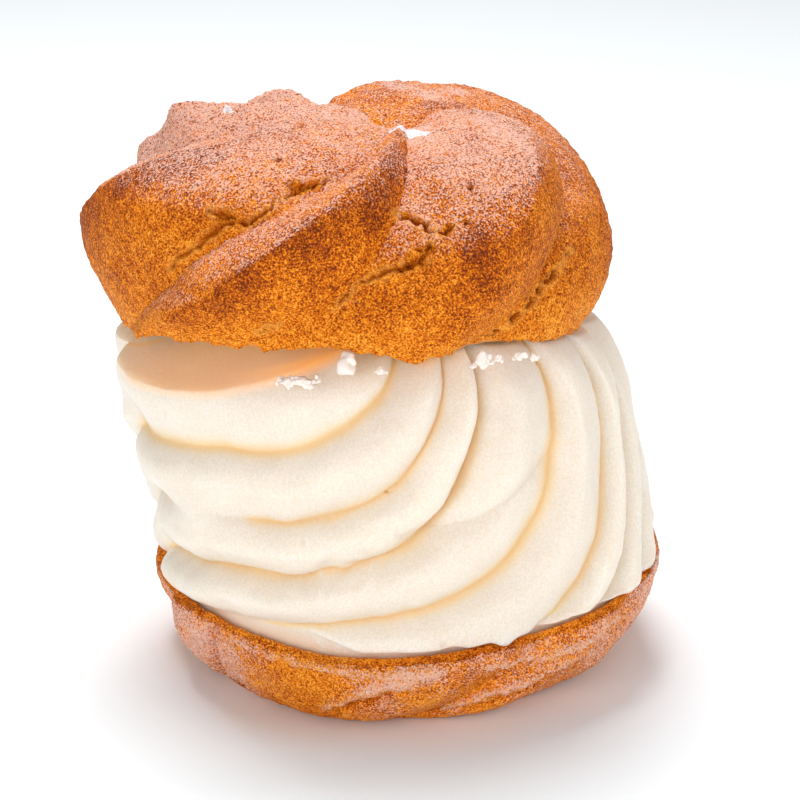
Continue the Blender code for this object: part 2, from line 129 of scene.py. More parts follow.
# Random relief, shifts and colour. Each layer is a height, a size and a seed
SHELL_BLISTERS = ((0.6, 7.0, 21), (0.4, 3.4, 22), (0.3, 1.5, 23), (0.2, 0.8, 24))
SHELL_EDGE_RAGS = ((0.6, 3.2, 25), (0.5, 1.3, 26), (0.3, 0.7, 27))
SHELL_EDGE_REACH = 0.035     # the share of the run over which the rim is ragged
SHELL_WOBBLE = ((0.5, 2.0, 60), (0.35, 0.9, 63))
SHELL_SCATTER = SHELL_WOBBLE + ((1.5, 2.2, 66),)
SHELL_RIDGE_HEIGHT = 0.8
SHELL_GROOVE_DEPTH = 1.3
SHELL_SUGAR_CLOUDS = ((0.25, 5.0, 28),)
SHELL_SHELTER = (-113.0, 14.0)  # azimuth and reach of the wall that little sugar fell on
SHELL_BROWNING = 0.12
SHELL_BROWN_CLOUDS = ((0.25, 6.0, 29),)

# Cream
CREAM_RADIUS = 40.4
CREAM_SHOULDER_HEIGHT = 40.0
CREAM_TOP_HEIGHT = 64.0
CREAM_SQUARENESS = 3.0
CREAM_LEAN = -0.2
CREAM_LEAN_START = 17.0
CREAM_RIDGE_DEPTH = 2.6
CREAM_LIP_RISE = 1.2
CREAM_LEDGE = (66.4, 0.33, 0.1)
CREAM_CROWN = 66.0
CREAM_RIDGES_ROUND = 15
CREAM_RIDGE_ABOVE = 12.0
CREAM_RIDGE_BELOW = 20.0
CREAM_RISE_AHEAD = 3.0
# One row for each crease on the front: its level, its azimuth at the crown, the angle in which
# it falls away, how suddenly it does so, and its depth
CREAM_CREASES = (
    (64.0, -62.0, 30.0, 1.0, 0.5),
    (42.5, -70.0, 20.0, 0.95, 3.0),
    (33.0, -58.5, 20.0, 1.15, 3.4),
    (23.2, -54.0, 18.5, 0.9, 4.2),
    (12.4, -36.0, 18.5, 0.6, 3.6),
    (6.5, -21.5, 12.5, 0.53, 2.8),
    (3.5, -8.5, 14.0, 0.53, 2.4),
    (1.0, 3.5, 16.0, 0.53, 2.2),
    (-1.0, 16.0, 17.0, 0.55, 2.2),
    (-3.0, 28.0, 17.0, 0.55, 2.2),
)
CREAM_SETTLE_AZIMUTH = -125.0
CREAM_SETTLE_SLOPE = 0.07
CREAM_LEAST_RIDGE = 1.2
CREAM_CROWDING = (0.6, 0.2)
CREAM_MERGED_CREASE = 2
CREAM_MERGE_AZIMUTH = -138.0
CREAM_MERGE_REACH = (0.0, 24.0)
# Swellings of the side: height, how far each reaches up and down, azimuth, width, rise
CREAM_SWELLS = (
    (28.0, 8.0, -165.0, 22.0, -1.7),
    (43.5, 3.5, -168.0, 16.0, -1.3),
)
# A shallow fold that runs up to the right between two creases: the azimuths of its ends, the
# heights of its ends, how late it rises, its half width and its depth
CREAM_FOLD = (-88.0, -43.0, 33.4, 42.4, 1.7, 4.5, 1.7)
CREAM_AROUND = 620           # points in each row of the cream's skin
CREAM_LEVELLING = 0.15       # heights are scaled by this for layers drawn out upwards
# Random relief and waver. Each layer is a height, a size and a seed
CREAM_WAVER = ((0.7, 11.0, 41), (0.3, 4.0, 42))
CREAM_RAGS = ((0.8, 3.0, 43), (0.35, 1.3, 44))
CREAM_RAGGED_PLACE = (-101.0, 15.0, 27.0, 4.5)  # its azimuth and width, its height and reach
CREAM_LUMPS = ((0.28, 6.0, 47), (0.12, 2.4, 48), (0.05, 0.9, 49))
CREAM_BUBBLE_DEPTH = 0.35
CREAM_RIM_RAGS = ((0.4, 4.0, 51),)
CREAM_RIM_LIFT = (2.2, -118.0, 15.0)  # the cream starts higher here: height, azimuth, width
CREAM_DRIPS = ((1.0, -70.0, 13.0), (0.7, -22.0, 16.0))  # share, azimuth and width of each
CREAM_DRIP_RAGS = ((0.6, 2.6, 52),)
CREAM_DRIP_PLACE = (1.6, 1.5)  # height above the rim, and reach
CREAM_DRIP_OUT = 0.9         # how far a drip hangs out over the rim
CREAM_DRIP_DOWN = 1.7        # and down over it
CREAM_SHADE_POCKET = (-120.0, 50.0)  # azimuth and reach of the painted shade and glow on the cream's top under the lid
CREAM_FRONT_START = -165.0
CREAM_FRONT_END = -10.0
CREAM_ZONES = (0.36, 0.74)

# Lid
LID_CENTRE = (-9.6, 0.0)
LID_EYE = (9.0, -3.0)        # the point where the petals meet, from the lid's centre
LID_EYE_DIP = 4.0
LID_EYE_WIDTH = 7.0
LID_RADIUS = 38.5
LID_WIDEST_HEIGHT = 66.5
LID_DOME_RISE = 22.0
LID_DOME_SQUARENESS = 2.5
LID_CUT_HEIGHT = 58.5
LID_ARCH = 3.0
LID_TILT = -0.08
LID_CUT_RADIUS = 36.0
LID_HOLLOW_RADIUS = 32.0
LID_HOLLOW_RISE = 7.0
LID_CREASE_DEPTH = 3.0
LID_DOME_TURN = 0.78
# One row for each petal: its crease at the eye and the cut, and how late it turns; the same
# three for its crest; its height, and its roundness
LID_PETALS = (
    (-82.0, -158.0, 1.5, -79.0, -146.0, 2.2, 5.2, 1.3),
    (-74.0, -110.0, 3.6, 44.0, -69.0, 0.42, 6.0, 1.3),
    (46.0, -57.0, 1.0, 98.0, -22.0, 1.15, 6.3, 1.5),
    (125.0, 20.0, 1.7, 140.0, 50.0, 1.4, 6.2, 1.3),
    (160.0, 84.0, 1.6, 171.0, 108.0, 2.0, 6.6, 1.0),
    (190.0, 130.0, 1.7, 222.0, 145.0, 1.9, 5.8, 1.0),
)
# Swellings and dents of the dome: turn, azimuth, radius and height
LID_SWELLS = (
    (0.34, 161.0, 4.0, 1.8),
    (0.49, 161.0, 6.5, -2.0),
    (0.42, 40.0, 12.0, 1.6),
    (0.20, 94.0, 5.0, 1.4),
    (0.16, 126.0, 4.0, -1.6),
    (0.30, -146.0, 7.0, -1.5),
    (0.24, -84.0, 5.0, -1.0),
    (0.34, -68.0, 5.0, 1.8),
)
LID_EDGE_SAGS = ((-68.0, 9.0, 1.2), (-137.0, 12.0, -0.6))  # azimuth, width and depth of each
LID_ZONES = (0.52, 0.68, 0.74)
LID_AROUND = 540             # points in each row of the lid's skin
LID_ROWS = (134, 35, 6, 8)   # rows in each of its zones
# Random relief, shifts and colour. Each layer is a height, a size and a seed
LID_BLISTERS = ((0.5, 8.0, 1), (0.3, 3.6, 2), (0.3, 1.5, 3), (0.3, 0.75, 4))
LID_ROUGHNESS = ((0.6, 2.4, 5), (0.3, 1.1, 6))
LID_ROUGH_PLACE = (0.3, 0.2, 120.0, 55.0)  # its turn and reach, its azimuth and reach
LID_WOBBLE = ((0.45, 1.9, 7), (0.35, 0.8, 17))
LID_FLAKE_WOBBLE = LID_WOBBLE + ((0.7, 1.2, 27),)
LID_SCATTER = LID_WOBBLE + ((0.8, 1.0, 37),)
LID_FLAKE_CRUMBS = ((0.9, 1.0, 30), (0.7, 0.6, 31))
LID_FLAKE_DEPTH = 0.4
LID_CRACK_RAGS = ((0.6, 1.2, 33),)
CRACK_EDGE = (1.3, 0.4)      # half widths at which a crack starts, and is at its full depth
CRACK_LIP_PLACE = 1.8        # half widths from a crack's middle to the crest of its lip
CRACK_LIP_WIDTH = 0.35
CRACK_LIP_HEIGHT = 0.18
LID_EDGE_REACH = 0.02        # the share of the run over which the cut edge is ragged
LID_EDGE_RAGS = ((0.9, 6.0, 10), (0.6, 2.4, 11), (0.45, 0.9, 12))
LID_EDGE_LUMPS = ((0.4, 1.3, 13),)
LID_EDGE_LIFT = 0.4
LID_CRUMB_LUMPS = ((0.35, 1.5, 14),)
LID_BROWNING = 0.35
LID_BROWN_START = (0.0, 0.3)  # turns over which the crests' brown begins
LID_BROWN_END = (1.15, 0.72)  # and ends
LID_BROWN_CLOUDS = ((0.2, 7.0, 15),)
LID_SKIRT_PALENESS = 0.45    # how much paler the crust is at the cut
SUGAR_HOLD = 0.65            # how much more a skin must face up to hold all its sugar
# For each petal: how brown its crest is, how far the brown reaches to the anticlockwise of the
# crest and to the clockwise, both in degrees, how much sugar lies on it, and how far its skin
# must face up for the first sugar to hold. The brown is partly the crust baked darker on its
# crests, and partly painted shade on the steep flank beside a crest, where it reaches far.
PETAL_BROWNING = (
    (0.4, 14.0, 1.5, 0.5, 0.15),
    (0.3, 4.0, 9.0, 0.8, 0.3),
    (0.15, 8.0, 8.0, 0.4, 0.3),
    (0.2, 8.0, 6.0, 0.9, 0.2),
    (0.2, 8.0, 6.0, 0.95, -0.3),
    (0.5, 12.0, 1.5, 0.7, 0.3),
)
# Places drawn darker, partly deeper baking and partly painted shade on the flanks beside the
# crests, and places with more sugar, as a turn, an azimuth and a radius
LID_BROWN_PLACES = (
    (0.096, 50.6, 1.6), (0.131, 43.2, 1.8), (0.166, 37.2, 1.8), (0.142, -6.5, 1.5),
    (0.184, -18.7, 1.4), (0.277, -79.5, 1.6), (0.352, -80.5, 1.9), (0.415, -81.5, 2.1),
    (0.470, -82.8, 2.2), (0.524, -84.5, 2.0), (0.548, -157.3, 1.8), (0.500, -150.4, 1.8),
    (0.446, -145.9, 1.7), (0.398, -142.2, 1.5), (0.352, -138.5, 1.2), (0.312, 164.9, 0.6),
    (0.271, 166.7, 0.6), (0.227, 169.7, 0.6), (0.66, -60.0, 2.6), (0.62, -99.0, 2.6),
)
LID_SUGARED_PLACES = (
    (0.194, -26.3, 1.6), (0.247, -29.8, 1.9), (0.312, -33.3, 1.9), (0.371, -36.1, 1.4),
    (0.133, -68.0, 3.0), (0.175, 78.8, 3.0), (0.153, 59.6, 3.0), (0.245, 53.6, 2.6),
)
# Cracks that opened in the oven. A point of a crack is the turn and the azimuth where it lies
# on the lid, and its half width
LID_CRACKS = (
    ((0.345, -99.8, 0.2), (0.361, -103.2, 0.35), (0.373, -106.4, 0.5), (0.398, -107.9, 0.6),
     (0.424, -108.9, 0.4), (0.450, -109.5, 0.08), (0.467, -111.4, 0.08), (0.502, -112.6, 0.3),
     (0.531, -113.9, 0.45), (0.551, -115.8, 0.4), (0.551, -118.1, 0.35), (0.542, -120.5, 0.45),
     (0.538, -122.8, 0.5), (0.537, -125.0, 0.4), (0.531, -127.2, 0.2)),
    ((0.550, -119.7, 0.3), (0.564, -121.5, 0.45), (0.583, -123.2, 0.45), (0.609, -124.7, 0.5),
     (0.640, -126.1, 0.4), (0.669, -128.0, 0.35), (0.693, -130.2, 0.3), (0.717, -132.4, 0.25),
     (0.747, -135.2, 0.15)),
    ((0.500, -78.3, 0.25), (0.513, -75.8, 0.4), (0.529, -73.3, 0.45), (0.551, -71.6, 0.45),
     (0.577, -69.7, 0.35), (0.590, -67.9, 0.3), (0.590, -65.8, 0.45), (0.574, -64.3, 0.25)),
    ((0.625, -69.5, 0.2), (0.649, -70.2, 0.4), (0.669, -71.4, 0.55), (0.684, -72.9, 0.4),
     (0.692, -74.9, 0.3), (0.701, -76.6, 0.4), (0.703, -78.6, 0.3), (0.712, -80.8, 0.35),
     (0.721, -82.6, 0.3), (0.732, -84.3, 0.25), (0.751, -86.2, 0.2), (0.780, -89.8, 0.25),
     (0.811, -92.0, 0.15)),
    ((0.919, -109.8, 0.2), (0.904, -107.1, 0.35), (0.876, -104.1, 0.15)),
    ((0.743, -22.5, 0.2), (0.762, -25.9, 0.35), (0.776, -28.9, 0.5), (0.793, -31.4, 0.45),
     (0.811, -33.6, 0.3), (0.832, -36.3, 0.4), (0.859, -38.9, 0.3), (0.880, -41.5, 0.25),
     (0.926, -47.3, 0.2), (0.985, -53.2, 0.15)),
    ((0.62, 62.0, 0.2), (0.68, 56.0, 0.5), (0.74, 50.0, 0.4), (0.80, 45.0, 0.2)),
    ((0.50, 150.0, 0.2), (0.58, 141.0, 0.5), (0.66, 134.0, 0.45), (0.74, 128.0, 0.2)),
)
# Places where the skin has flaked off and the crumb shows, as a turn, an azimuth and a radius
LID_FLAKES = (
    (0.402, -108.1, 1.1), (0.384, -105.3, 1.2), (0.366, -103.0, 0.9), (0.552, -118.6, 1.2),
    (0.545, -122.5, 1.1), (0.590, -123.4, 0.8), (0.515, -75.5, 0.9), (0.548, -71.5, 0.8),
    (0.655, -71.0, 1.3), (0.675, -73.2, 1.3), (0.700, -78.0, 0.9), (0.581, -65.5, 0.9),
    (0.568, -61.8, 0.7), (0.043, 124.9, 1.0), (0.448, -112.1, 0.7), (0.790, -31.0, 0.8),
    (0.820, -93.0, 0.8), (0.70, 54.0, 1.2), (0.62, 137.0, 1.1),
)
# Small pits, as a turn, an azimuth and a radius
LID_PITS = (
    (0.568, -61.8, 0.5), (0.459, -57.7, 0.45), (0.312, -120.5, 0.45), (0.172, -133.5, 0.5),
    (0.142, -51.0, 0.55), (0.496, 160.9, 0.4), (0.448, -112.1, 0.4), (0.249, 170.3, 0.4),
    (0.60, 20.0, 0.45), (0.70, 100.0, 0.5), (0.45, 80.0, 0.4), (0.66, 172.0, 0.45),
)
# White heaps of sugar that has not melted, as a turn, an azimuth and a radius
LID_SUGAR_HEAPS = (
    (0.108, -72.0, 1.9), (0.124, -65.0, 1.6), (0.138, -59.0, 0.9), (0.110, -80.0, 1.3),
    (0.249, 170.3, 0.9),
)

# Loose crumbs on the cream: x, y and z of each, its size, and how much taller it is than wide
CRUMBS = (
    (-8.6, -38.0, 60.4, 1.1, 1.3), (-16.0, -38.2, 58.0, 1.0, 0.7), (-14.4, -38.6, 57.6, 0.8, 0.7),
    (-17.8, -37.6, 57.6, 0.7, 0.7), (-13.0, -38.8, 58.2, 0.6, 0.8), (11.2, -37.6, 60.6, 0.9, 1.1),
    (13.2, -37.2, 60.9, 0.7, 0.8), (16.4, -36.4, 61.0, 0.8, 0.8), (9.6, -38.0, 60.0, 0.5, 0.9),
    (-4.0, -38.4, 59.4, 0.6, 0.9), (18.4, -35.8, 60.6, 0.5, 0.9),
)

FRONT_AZIMUTH = -95.0        # the skins have their finest mesh here
FRONT_FINENESS = 0.4         # 0 spreads the mesh evenly, and 1 leaves the back bare
LATTICE = np.random.default_rng(11).uniform(-1.0, 1.0, 65536)
LATTICE_STEPS = np.array((7919, 104729, 1299709))


# ------------------------------------------------------------------ small maths

def smooth_step(low, high, value):
    """0 below low, 1 above high, and an even S curve between."""
    share = np.clip((value - low) / (high - low), 0.0, 1.0)
    return share * share * (3.0 - 2.0 * share)


def stretch(value, start, end):
    """The share of the way from start to end, held between 0 and 1."""
    return np.clip((value - start) / (end - start), 0.0, 1.0)


def zone_shares(run, borders):
    """For each zone of a solid, the share of it that lies behind a run."""
    return [stretch(run, start, end) for start, end in zip((0.0, *borders), (*borders, 1.0))]


def quarter_arc(share, power):
    """A superellipse's quarter: (0, 1) at share 0 and (1, 0) at share 1."""
    angle = share * np.pi / 2
    reach = np.sin(angle) ** (2.0 / power)
    rise = np.clip(np.cos(angle), 0.0, 1.0) ** (2.0 / power)
    return reach, rise


def angle_between(first, second):
    """The smaller angle between two azimuths."""
    return np.abs((first - second + 180.0) % 360.0 - 180.0)


def hill(distance, reach):
    """1 where a distance is 0, falling away to almost nothing at twice its reach."""
    return np.exp(-(distance / reach) ** 2)


def bumps(points, size, seed=0):
    """Smooth random numbers from -1 to 1 at points, that change over about one size."""
    scaled = points / size + 100.0 + 31.7 * seed
    cell = np.floor(scaled).astype(np.int64)
    within = scaled - cell
    within = within * within * (3.0 - 2.0 * within)
    total = np.zeros(points.shape[:-1])
    for corner in np.ndindex(2, 2, 2):
        step = np.array(corner)
        index = ((cell + step) @ LATTICE_STEPS) % LATTICE.size
        weight = np.prod(np.where(step == 1, within, 1.0 - within), axis=-1)
        total += weight * LATTICE[index]
    return total


def layered(points, layers):
    """Bumps of several sizes, added up. A layer is a height, a size and a seed."""
    return sum(height * bumps(points, size, seed) for height, size, seed in layers)


def shifted(points, layers):
    """Points moved about at random. A layer is how far, over what size, and a seed."""
    moved = points
    for reach, size, seed in layers:
        shift = [bumps(points, size, seed + part) for part in range(3)]
        moved = moved + reach * np.stack(shift, axis=-1)
    return moved


# ---------------------------------------------------- shapes shared with the solids

def polar_points(azimuth, radius, height, shift_x=0.0):
    """Points from an azimuth, a radius and a height, moved sideways by shift_x."""
    angle = np.radians(azimuth)
    return np.stack((shift_x + radius * np.cos(angle), radius * np.sin(angle), height), axis=-1)


def petal_share(azimuth, petals, index):
    """0 in the creases of a petal and 1 on its crest, and how far past the crest it is."""
    crease, crest = petals[index][:2]
    following = petals[(index + 1) % len(petals)][0]
    offset = (azimuth - crease) % 360.0
    flank = (crest - crease) % 360.0
    width = (following - crease) % 360.0
    share = np.minimum(offset / flank, (width - offset) / (width - flank))
    return np.clip(share, 0.0, 1.0), offset - flank, offset < width


def petal_height(azimuth, petals):
    """0 in a crease, and each petal's own height on its crest."""
    height = np.zeros_like(azimuth)
    for index, (_crease, _crest, rise, roundness) in enumerate(petals):
        share, _past, here = petal_share(azimuth, petals, index)
        height = np.where(here, rise * (1.0 - (1.0 - share) ** roundness), height)
    return height


def shell_rim_height(azimuth):
    """Height of the cut rim of the lower shell."""
    angle = np.radians(azimuth)
    tilt = SHELL_RIM_TILT_X * np.cos(angle) + SHELL_RIM_TILT_Y * np.sin(angle)
    wave = SHELL_RIM_WAVE_HEIGHT * np.sin(SHELL_RIM_WAVES * angle + 1.0)
    return SHELL_RIM_HEIGHT + tilt + wave


def shell_flute_rows(level):
    """The flutes as petals, at a level from 0 at the foot to 1 at the rim."""
    flutes = []
    for crease_foot, crease_rim, crest_foot, crest_rim in SHELL_FLUTES:
        crease = crease_foot + (crease_rim - crease_foot) * level
        crest = crest_foot + (crest_rim - crest_foot) * level
        flutes.append((crease, crest, SHELL_FLUTE_DEPTH, SHELL_FLUTE_ROUNDNESS))
    return flutes


def shell_relief(azimuth, level):
    """How far the outer wall stands out: its flutes, and its swellings and dents."""
    relief = petal_height(azimuth, shell_flute_rows(level)) - SHELL_FLUTE_DEPTH / 2
    relief = relief * smooth_step(0.0, SHELL_FOOT_LEVEL, level)
    relief = relief * (1.0 - SHELL_FLUTE_FADE * smooth_step(SHELL_FADE_LEVEL, 1.0, level))
    for middle, reach, middle_azimuth, width, swell in SHELL_SWELLS:
        aside = hill(angle_between(azimuth, middle_azimuth), width)
        relief = relief + swell * aside * hill(level - middle, reach)
    return relief


def shell_wall_level(run):
    """The level of the outer wall at a run: 1 at the rim and 0 at the foot."""
    return (1.0 - stretch(run, *SHELL_ZONES[1:])) ** 0.7


def dish_profile(azimuth, share, clearance):
    """Radius and height of the shell's inside, from its middle (0) to its rim (1)."""
    rim = shell_rim_height(azimuth)
    reach, drop = quarter_arc(share, SHELL_DISH_SQUARENESS)
    radius = (SHELL_RADIUS - SHELL_WALL - clearance) * reach
    floor = SHELL_FLOOR + clearance
    return radius, rim - (rim - floor) * drop


def shell_points(azimuth, run):
    """The dish, over the rim, down the fluted wall and across the flat underside."""
    dish, rim, wall, underside = zone_shares(run, SHELL_ZONES)
    rim_height = shell_rim_height(azimuth)
    radius, height = dish_profile(azimuth, dish, 0.0)
    radius = radius + SHELL_WALL * rim
    height = height - SHELL_RIM_BEVEL * rim * rim
    drop, stay = quarter_arc(wall, SHELL_WALL_SQUARENESS)
    foot_reach = SHELL_FOOT_RADIUS + (SHELL_RADIUS - SHELL_FOOT_RADIUS) * stay
    radius = np.where(wall > 0, foot_reach, radius)
    height = np.where(wall > 0, (rim_height - SHELL_RIM_BEVEL) * (1.0 - drop), height)
    relief = shell_relief(azimuth, shell_wall_level(run))
    radius = radius + relief * smooth_step(0.2, 1.0, rim)
    radius = radius * (1.0 - underside)
    height = np.where(underside > 0, 0.0, height)
    return polar_points(azimuth, radius, height, SHELL_FOOT_SHIFT * smooth_step(0.0, 1.0, wall))


def crease_height(azimuth, level, top, sweep, suddenness, _depth):
    """Height of one crease of the cream at an azimuth, on the front."""
    back = np.clip(top - azimuth, 0.0, None) / sweep
    ahead = np.clip(azimuth - top, 0.0, None)
    fall = np.exp(-back ** suddenness)
    settled = CREAM_SETTLE_SLOPE * np.clip(CREAM_SETTLE_AZIMUTH - azimuth, 0.0, None)
    return level + (CREAM_CROWN - level) * fall + CREAM_RISE_AHEAD * ahead - settled


def front_ridge_count(azimuth, height):
    """How many creases lie before a point of the front, counted as a smooth number."""
    count = np.zeros_like(azimuth)
    upper = crease_height(azimuth, *CREAM_CREASES[0])
    count = count - np.clip(height - upper, 0.0, None) / CREAM_RIDGE_ABOVE
    for lower_crease in CREAM_CREASES[1:]:
        lower = np.minimum(crease_height(azimuth, *lower_crease), upper - CREAM_LEAST_RIDGE)
        count = count + np.clip((upper - height) / (upper - lower), 0.0, 1.0)
        upper = lower
    return count + np.clip(upper - height, 0.0, None) / CREAM_RIDGE_BELOW


def ridge_count(azimuth, height):
    """The count all round: the front's, and an even run behind that joins its two ends."""
    turn = (azimuth - CREAM_FRONT_START) % 360.0
    front_width = CREAM_FRONT_END - CREAM_FRONT_START
    front = front_ridge_count(np.minimum(turn, front_width) + CREAM_FRONT_START, height)
    start = front_ridge_count(np.full_like(height, CREAM_FRONT_START), height)
    rest = CREAM_RIDGES_ROUND + start - front
    share = stretch(turn, front_width, 360.0)
    return front + rest * np.where(turn > front_width, share, 0.0)


def crease_depth(azimuth, height, nearest):
    """Depth of the crease whose count is nearest."""
    depth = np.full_like(height, CREAM_RIDGE_DEPTH)
    for index, crease in enumerate(CREAM_CREASES):
        depth = np.where(nearest == index, crease[-1], depth)
    aside = angle_between(azimuth, CREAM_MERGE_AZIMUTH)
    merged = nearest % CREAM_RIDGES_ROUND == CREAM_MERGED_CREASE
    depth = np.where(merged, depth * smooth_step(*CREAM_MERGE_REACH, aside), depth)
    crowding = ridge_count(azimuth, height - 0.5) - ridge_count(azimuth, height + 0.5)
    return depth * smooth_step(*CREAM_CROWDING, crowding)


def side_swell(azimuth, height):
    """How far the cream's side stands out in its swellings, less the shallow fold."""
    start, end, low, high, lateness, half_width, depth = CREAM_FOLD
    share = stretch(azimuth, start, end)
    off = np.abs(height - low - (high - low) * share ** lateness) / half_width
    fold = depth * (4.0 * share * (1.0 - share)) ** 0.5 * np.clip(1.0 - off, 0.0, 1.0) ** 2
    swell = -fold
    for middle, reach, middle_azimuth, width, rise in CREAM_SWELLS:
        aside = hill(angle_between(azimuth, middle_azimuth), width)
        swell = swell + rise * aside * hill(height - middle, reach)
    return swell


def lid_arch(x):
    """How much lower the cut lies at x than in the lid's middle."""
    return LID_ARCH * ((x - LID_CENTRE[0]) / LID_CUT_RADIUS) ** 2


def lid_sag(azimuth):
    """How much lower or higher the cut hangs at an azimuth of the lid."""
    sag = np.zeros_like(azimuth)
    for middle, width, depth in LID_EDGE_SAGS:
        sag = sag + depth * hill(angle_between(azimuth, middle), width)
    return sag


def lid_ceiling(x, y):
    """Height at which the cream would touch the lid's hollow, or the cut round it."""
    away_x, away_y = x - LID_CENTRE[0], y - LID_CENTRE[1]
    distance = np.hypot(away_x, away_y) / (LID_HOLLOW_RADIUS - GAP)
    rise = LID_HOLLOW_RISE * np.sqrt(np.clip(1.0 - distance ** 2, 0.0, 1.0))
    droop = lid_arch(x) + lid_sag(np.degrees(np.arctan2(away_y, away_x)))
    return LID_CUT_HEIGHT + rise - droop + LID_TILT * y - GAP


def cream_ceiling(x, y):
    """Height to which the cream may rise: the plane of its own top, or the lid."""
    level, rise_x, rise_y = CREAM_LEDGE
    return np.minimum(lid_ceiling(x, y), level + rise_x * x + rise_y * y)


def cream_points(azimuth, run, waver=0.0, lift=0.0):
    """The cream's skin. The creases are moved up by waver, and the lip over the rim by lift.

    Returns the points, the count of ridges and how much of a crease each point is, from 0 to 1.
    """
    top, side, foot = zone_shares(run, CREAM_ZONES)
    rim = shell_rim_height(azimuth) + GAP
    reach, rise = quarter_arc(top, CREAM_SQUARENESS)
    height = CREAM_SHOULDER_HEIGHT + (CREAM_TOP_HEIGHT - CREAM_SHOULDER_HEIGHT) * rise
    height = height - (CREAM_SHOULDER_HEIGHT - rim) * side
    inner_radius, inner_height = dish_profile(azimuth, 1.0 - foot, GAP)
    above_rim = smooth_step(0.0, CREAM_LIP_RISE, height - rim - lift)
    count = ridge_count(azimuth, height + waver)
    nearest = np.round(count)
    depth = crease_depth(azimuth, height + waver, nearest) * smooth_step(0.4, 0.85, reach)
    closeness = 1.0 - 2.0 * np.abs(count - nearest)
    swell = side_swell(azimuth, height + waver)
    swollen = (CREAM_RADIUS + swell - depth * closeness ** 2) * reach
    radius = inner_radius + (swollen - inner_radius) * above_rim
    radius = np.where(foot > 0, inner_radius, radius)
    height = np.where(foot > 0, inner_height, height)
    lean = CREAM_LEAN * np.clip(height - CREAM_LEAN_START, 0.0, None)
    points = polar_points(azimuth, radius, height, lean)
    points[..., 2] = np.minimum(points[..., 2], cream_ceiling(points[..., 0], points[..., 1]))
    return points, count, np.clip(depth / CREAM_RIDGE_DEPTH, 0.0, 1.0) * closeness


def lid_petal_rows(turn):
    """The petals at a turn, from 0 at the eye to 1 at the cut edge."""
    petals = []
    for row in LID_PETALS:
        crease_eye, crease_cut, crease_lateness, crest_eye, crest_cut, crest_lateness = row[:6]
        crease = crease_eye + (crease_cut - crease_eye) * turn ** crease_lateness
        crest = crest_eye + (crest_cut - crest_eye) * turn ** crest_lateness
        petals.append((crease, crest, *row[6:]))
    return petals


def lid_turn(run):
    """How far out along its petals a point of the lid lies."""
    dome, skirt = zone_shares(run, LID_ZONES)[:2]
    return LID_DOME_TURN * dome + (1.0 - LID_DOME_TURN) * skirt


def run_at_turn(turn):
    """The run at which the lid has made a turn."""
    dome = stretch(turn, 0.0, LID_DOME_TURN)
    skirt = stretch(turn, LID_DOME_TURN, 1.0)
    return LID_ZONES[0] * dome + (LID_ZONES[1] - LID_ZONES[0]) * skirt


def lid_form(azimuth, run, relief):
    """The lid with its outer skin raised by relief: dome, skirt, cut face and hollow."""
    dome, skirt, cut, hollow = zone_shares(run, LID_ZONES)
    reach, rise = quarter_arc(dome, LID_DOME_SQUARENESS)
    angle = dome * np.pi / 2
    eye_share = 1.0 - reach
    radius = LID_RADIUS * reach
    height = LID_WIDEST_HEIGHT + LID_DOME_RISE * rise
    height = height - LID_EYE_DIP * hill(radius, LID_EYE_WIDTH)
    radius = radius - (LID_RADIUS - LID_CUT_RADIUS) * skirt ** 1.6 + relief * np.sin(angle)
    height = height - (LID_WIDEST_HEIGHT - LID_CUT_HEIGHT) * skirt + relief * np.cos(angle)
    inward, upward = quarter_arc(1.0 - hollow, 2.0)
    radius = radius + (LID_HOLLOW_RADIUS - radius) * cut
    radius = np.where(hollow > 0, LID_HOLLOW_RADIUS * inward, radius)
    height = np.where(hollow > 0, LID_CUT_HEIGHT + LID_HOLLOW_RISE * upward, height)
    points = polar_points(azimuth, radius, height, LID_CENTRE[0] + LID_EYE[0] * eye_share)
    points[..., 1] += LID_CENTRE[1] + LID_EYE[1] * eye_share
    points[..., 2] += LID_TILT * points[..., 1]
    points[..., 2] -= (lid_arch(points[..., 0]) + lid_sag(azimuth)) * skirt
    return points


def lid_points(azimuth, run):
    """The lid with its petals, and the swellings and dents of its dome."""
    dome, skirt, cut = zone_shares(run, LID_ZONES)[:3]
    petals = petal_height(azimuth, lid_petal_rows(lid_turn(run))) - LID_CREASE_DEPTH
    relief = petals * smooth_step(0.0, 0.5, dome) * (1.0 - 0.5 * skirt)
    plain = lid_form(azimuth, run, 0.0)
    for turn, middle_azimuth, reach, swell in LID_SWELLS:
        middle = lid_form(np.array([middle_azimuth]), np.array([run_at_turn(turn)]), 0.0)[0]
        distance = np.linalg.norm(plain - middle, axis=-1)
        relief = relief + swell * hill(distance, reach)
    return lid_form(azimuth, run, relief * (1.0 - cut))


def lid_spot(turn, azimuth):
    """The point of the lid at a turn and an azimuth."""
    return lid_points(np.array([azimuth]), np.array([run_at_turn(turn)]))[0]


def shell_spot(run, azimuth):
    """The point of the lower shell at a run and an azimuth."""
    return shell_points(np.array([azimuth]), np.array([run]))[0]


# --------------------------------------------------------------------- fine skins

def fine_grid(around, runs):
    """Azimuths and runs of a skin: a row for each run, and finer at the front."""
    share = (np.arange(around) + 0.5) / around - 0.5
    warp = FRONT_FINENESS / (2.0 * np.pi) * np.sin(2.0 * np.pi * share)
    azimuths = FRONT_AZIMUTH + 360.0 * (share - warp)
    azimuths = (azimuths + 180.0) % 360.0 - 180.0
    return np.meshgrid(azimuths, runs)


def skin_normals(points):
    """Outward normals of a skin whose rows run from its upper pole to its lower one."""
    across = np.roll(points, -1, axis=1) - np.roll(points, 1, axis=1)
    along = np.gradient(points, axis=0)
    normals = np.cross(along, across)
    length = np.linalg.norm(normals, axis=-1, keepdims=True)
    return normals / np.maximum(length, 1e-9)


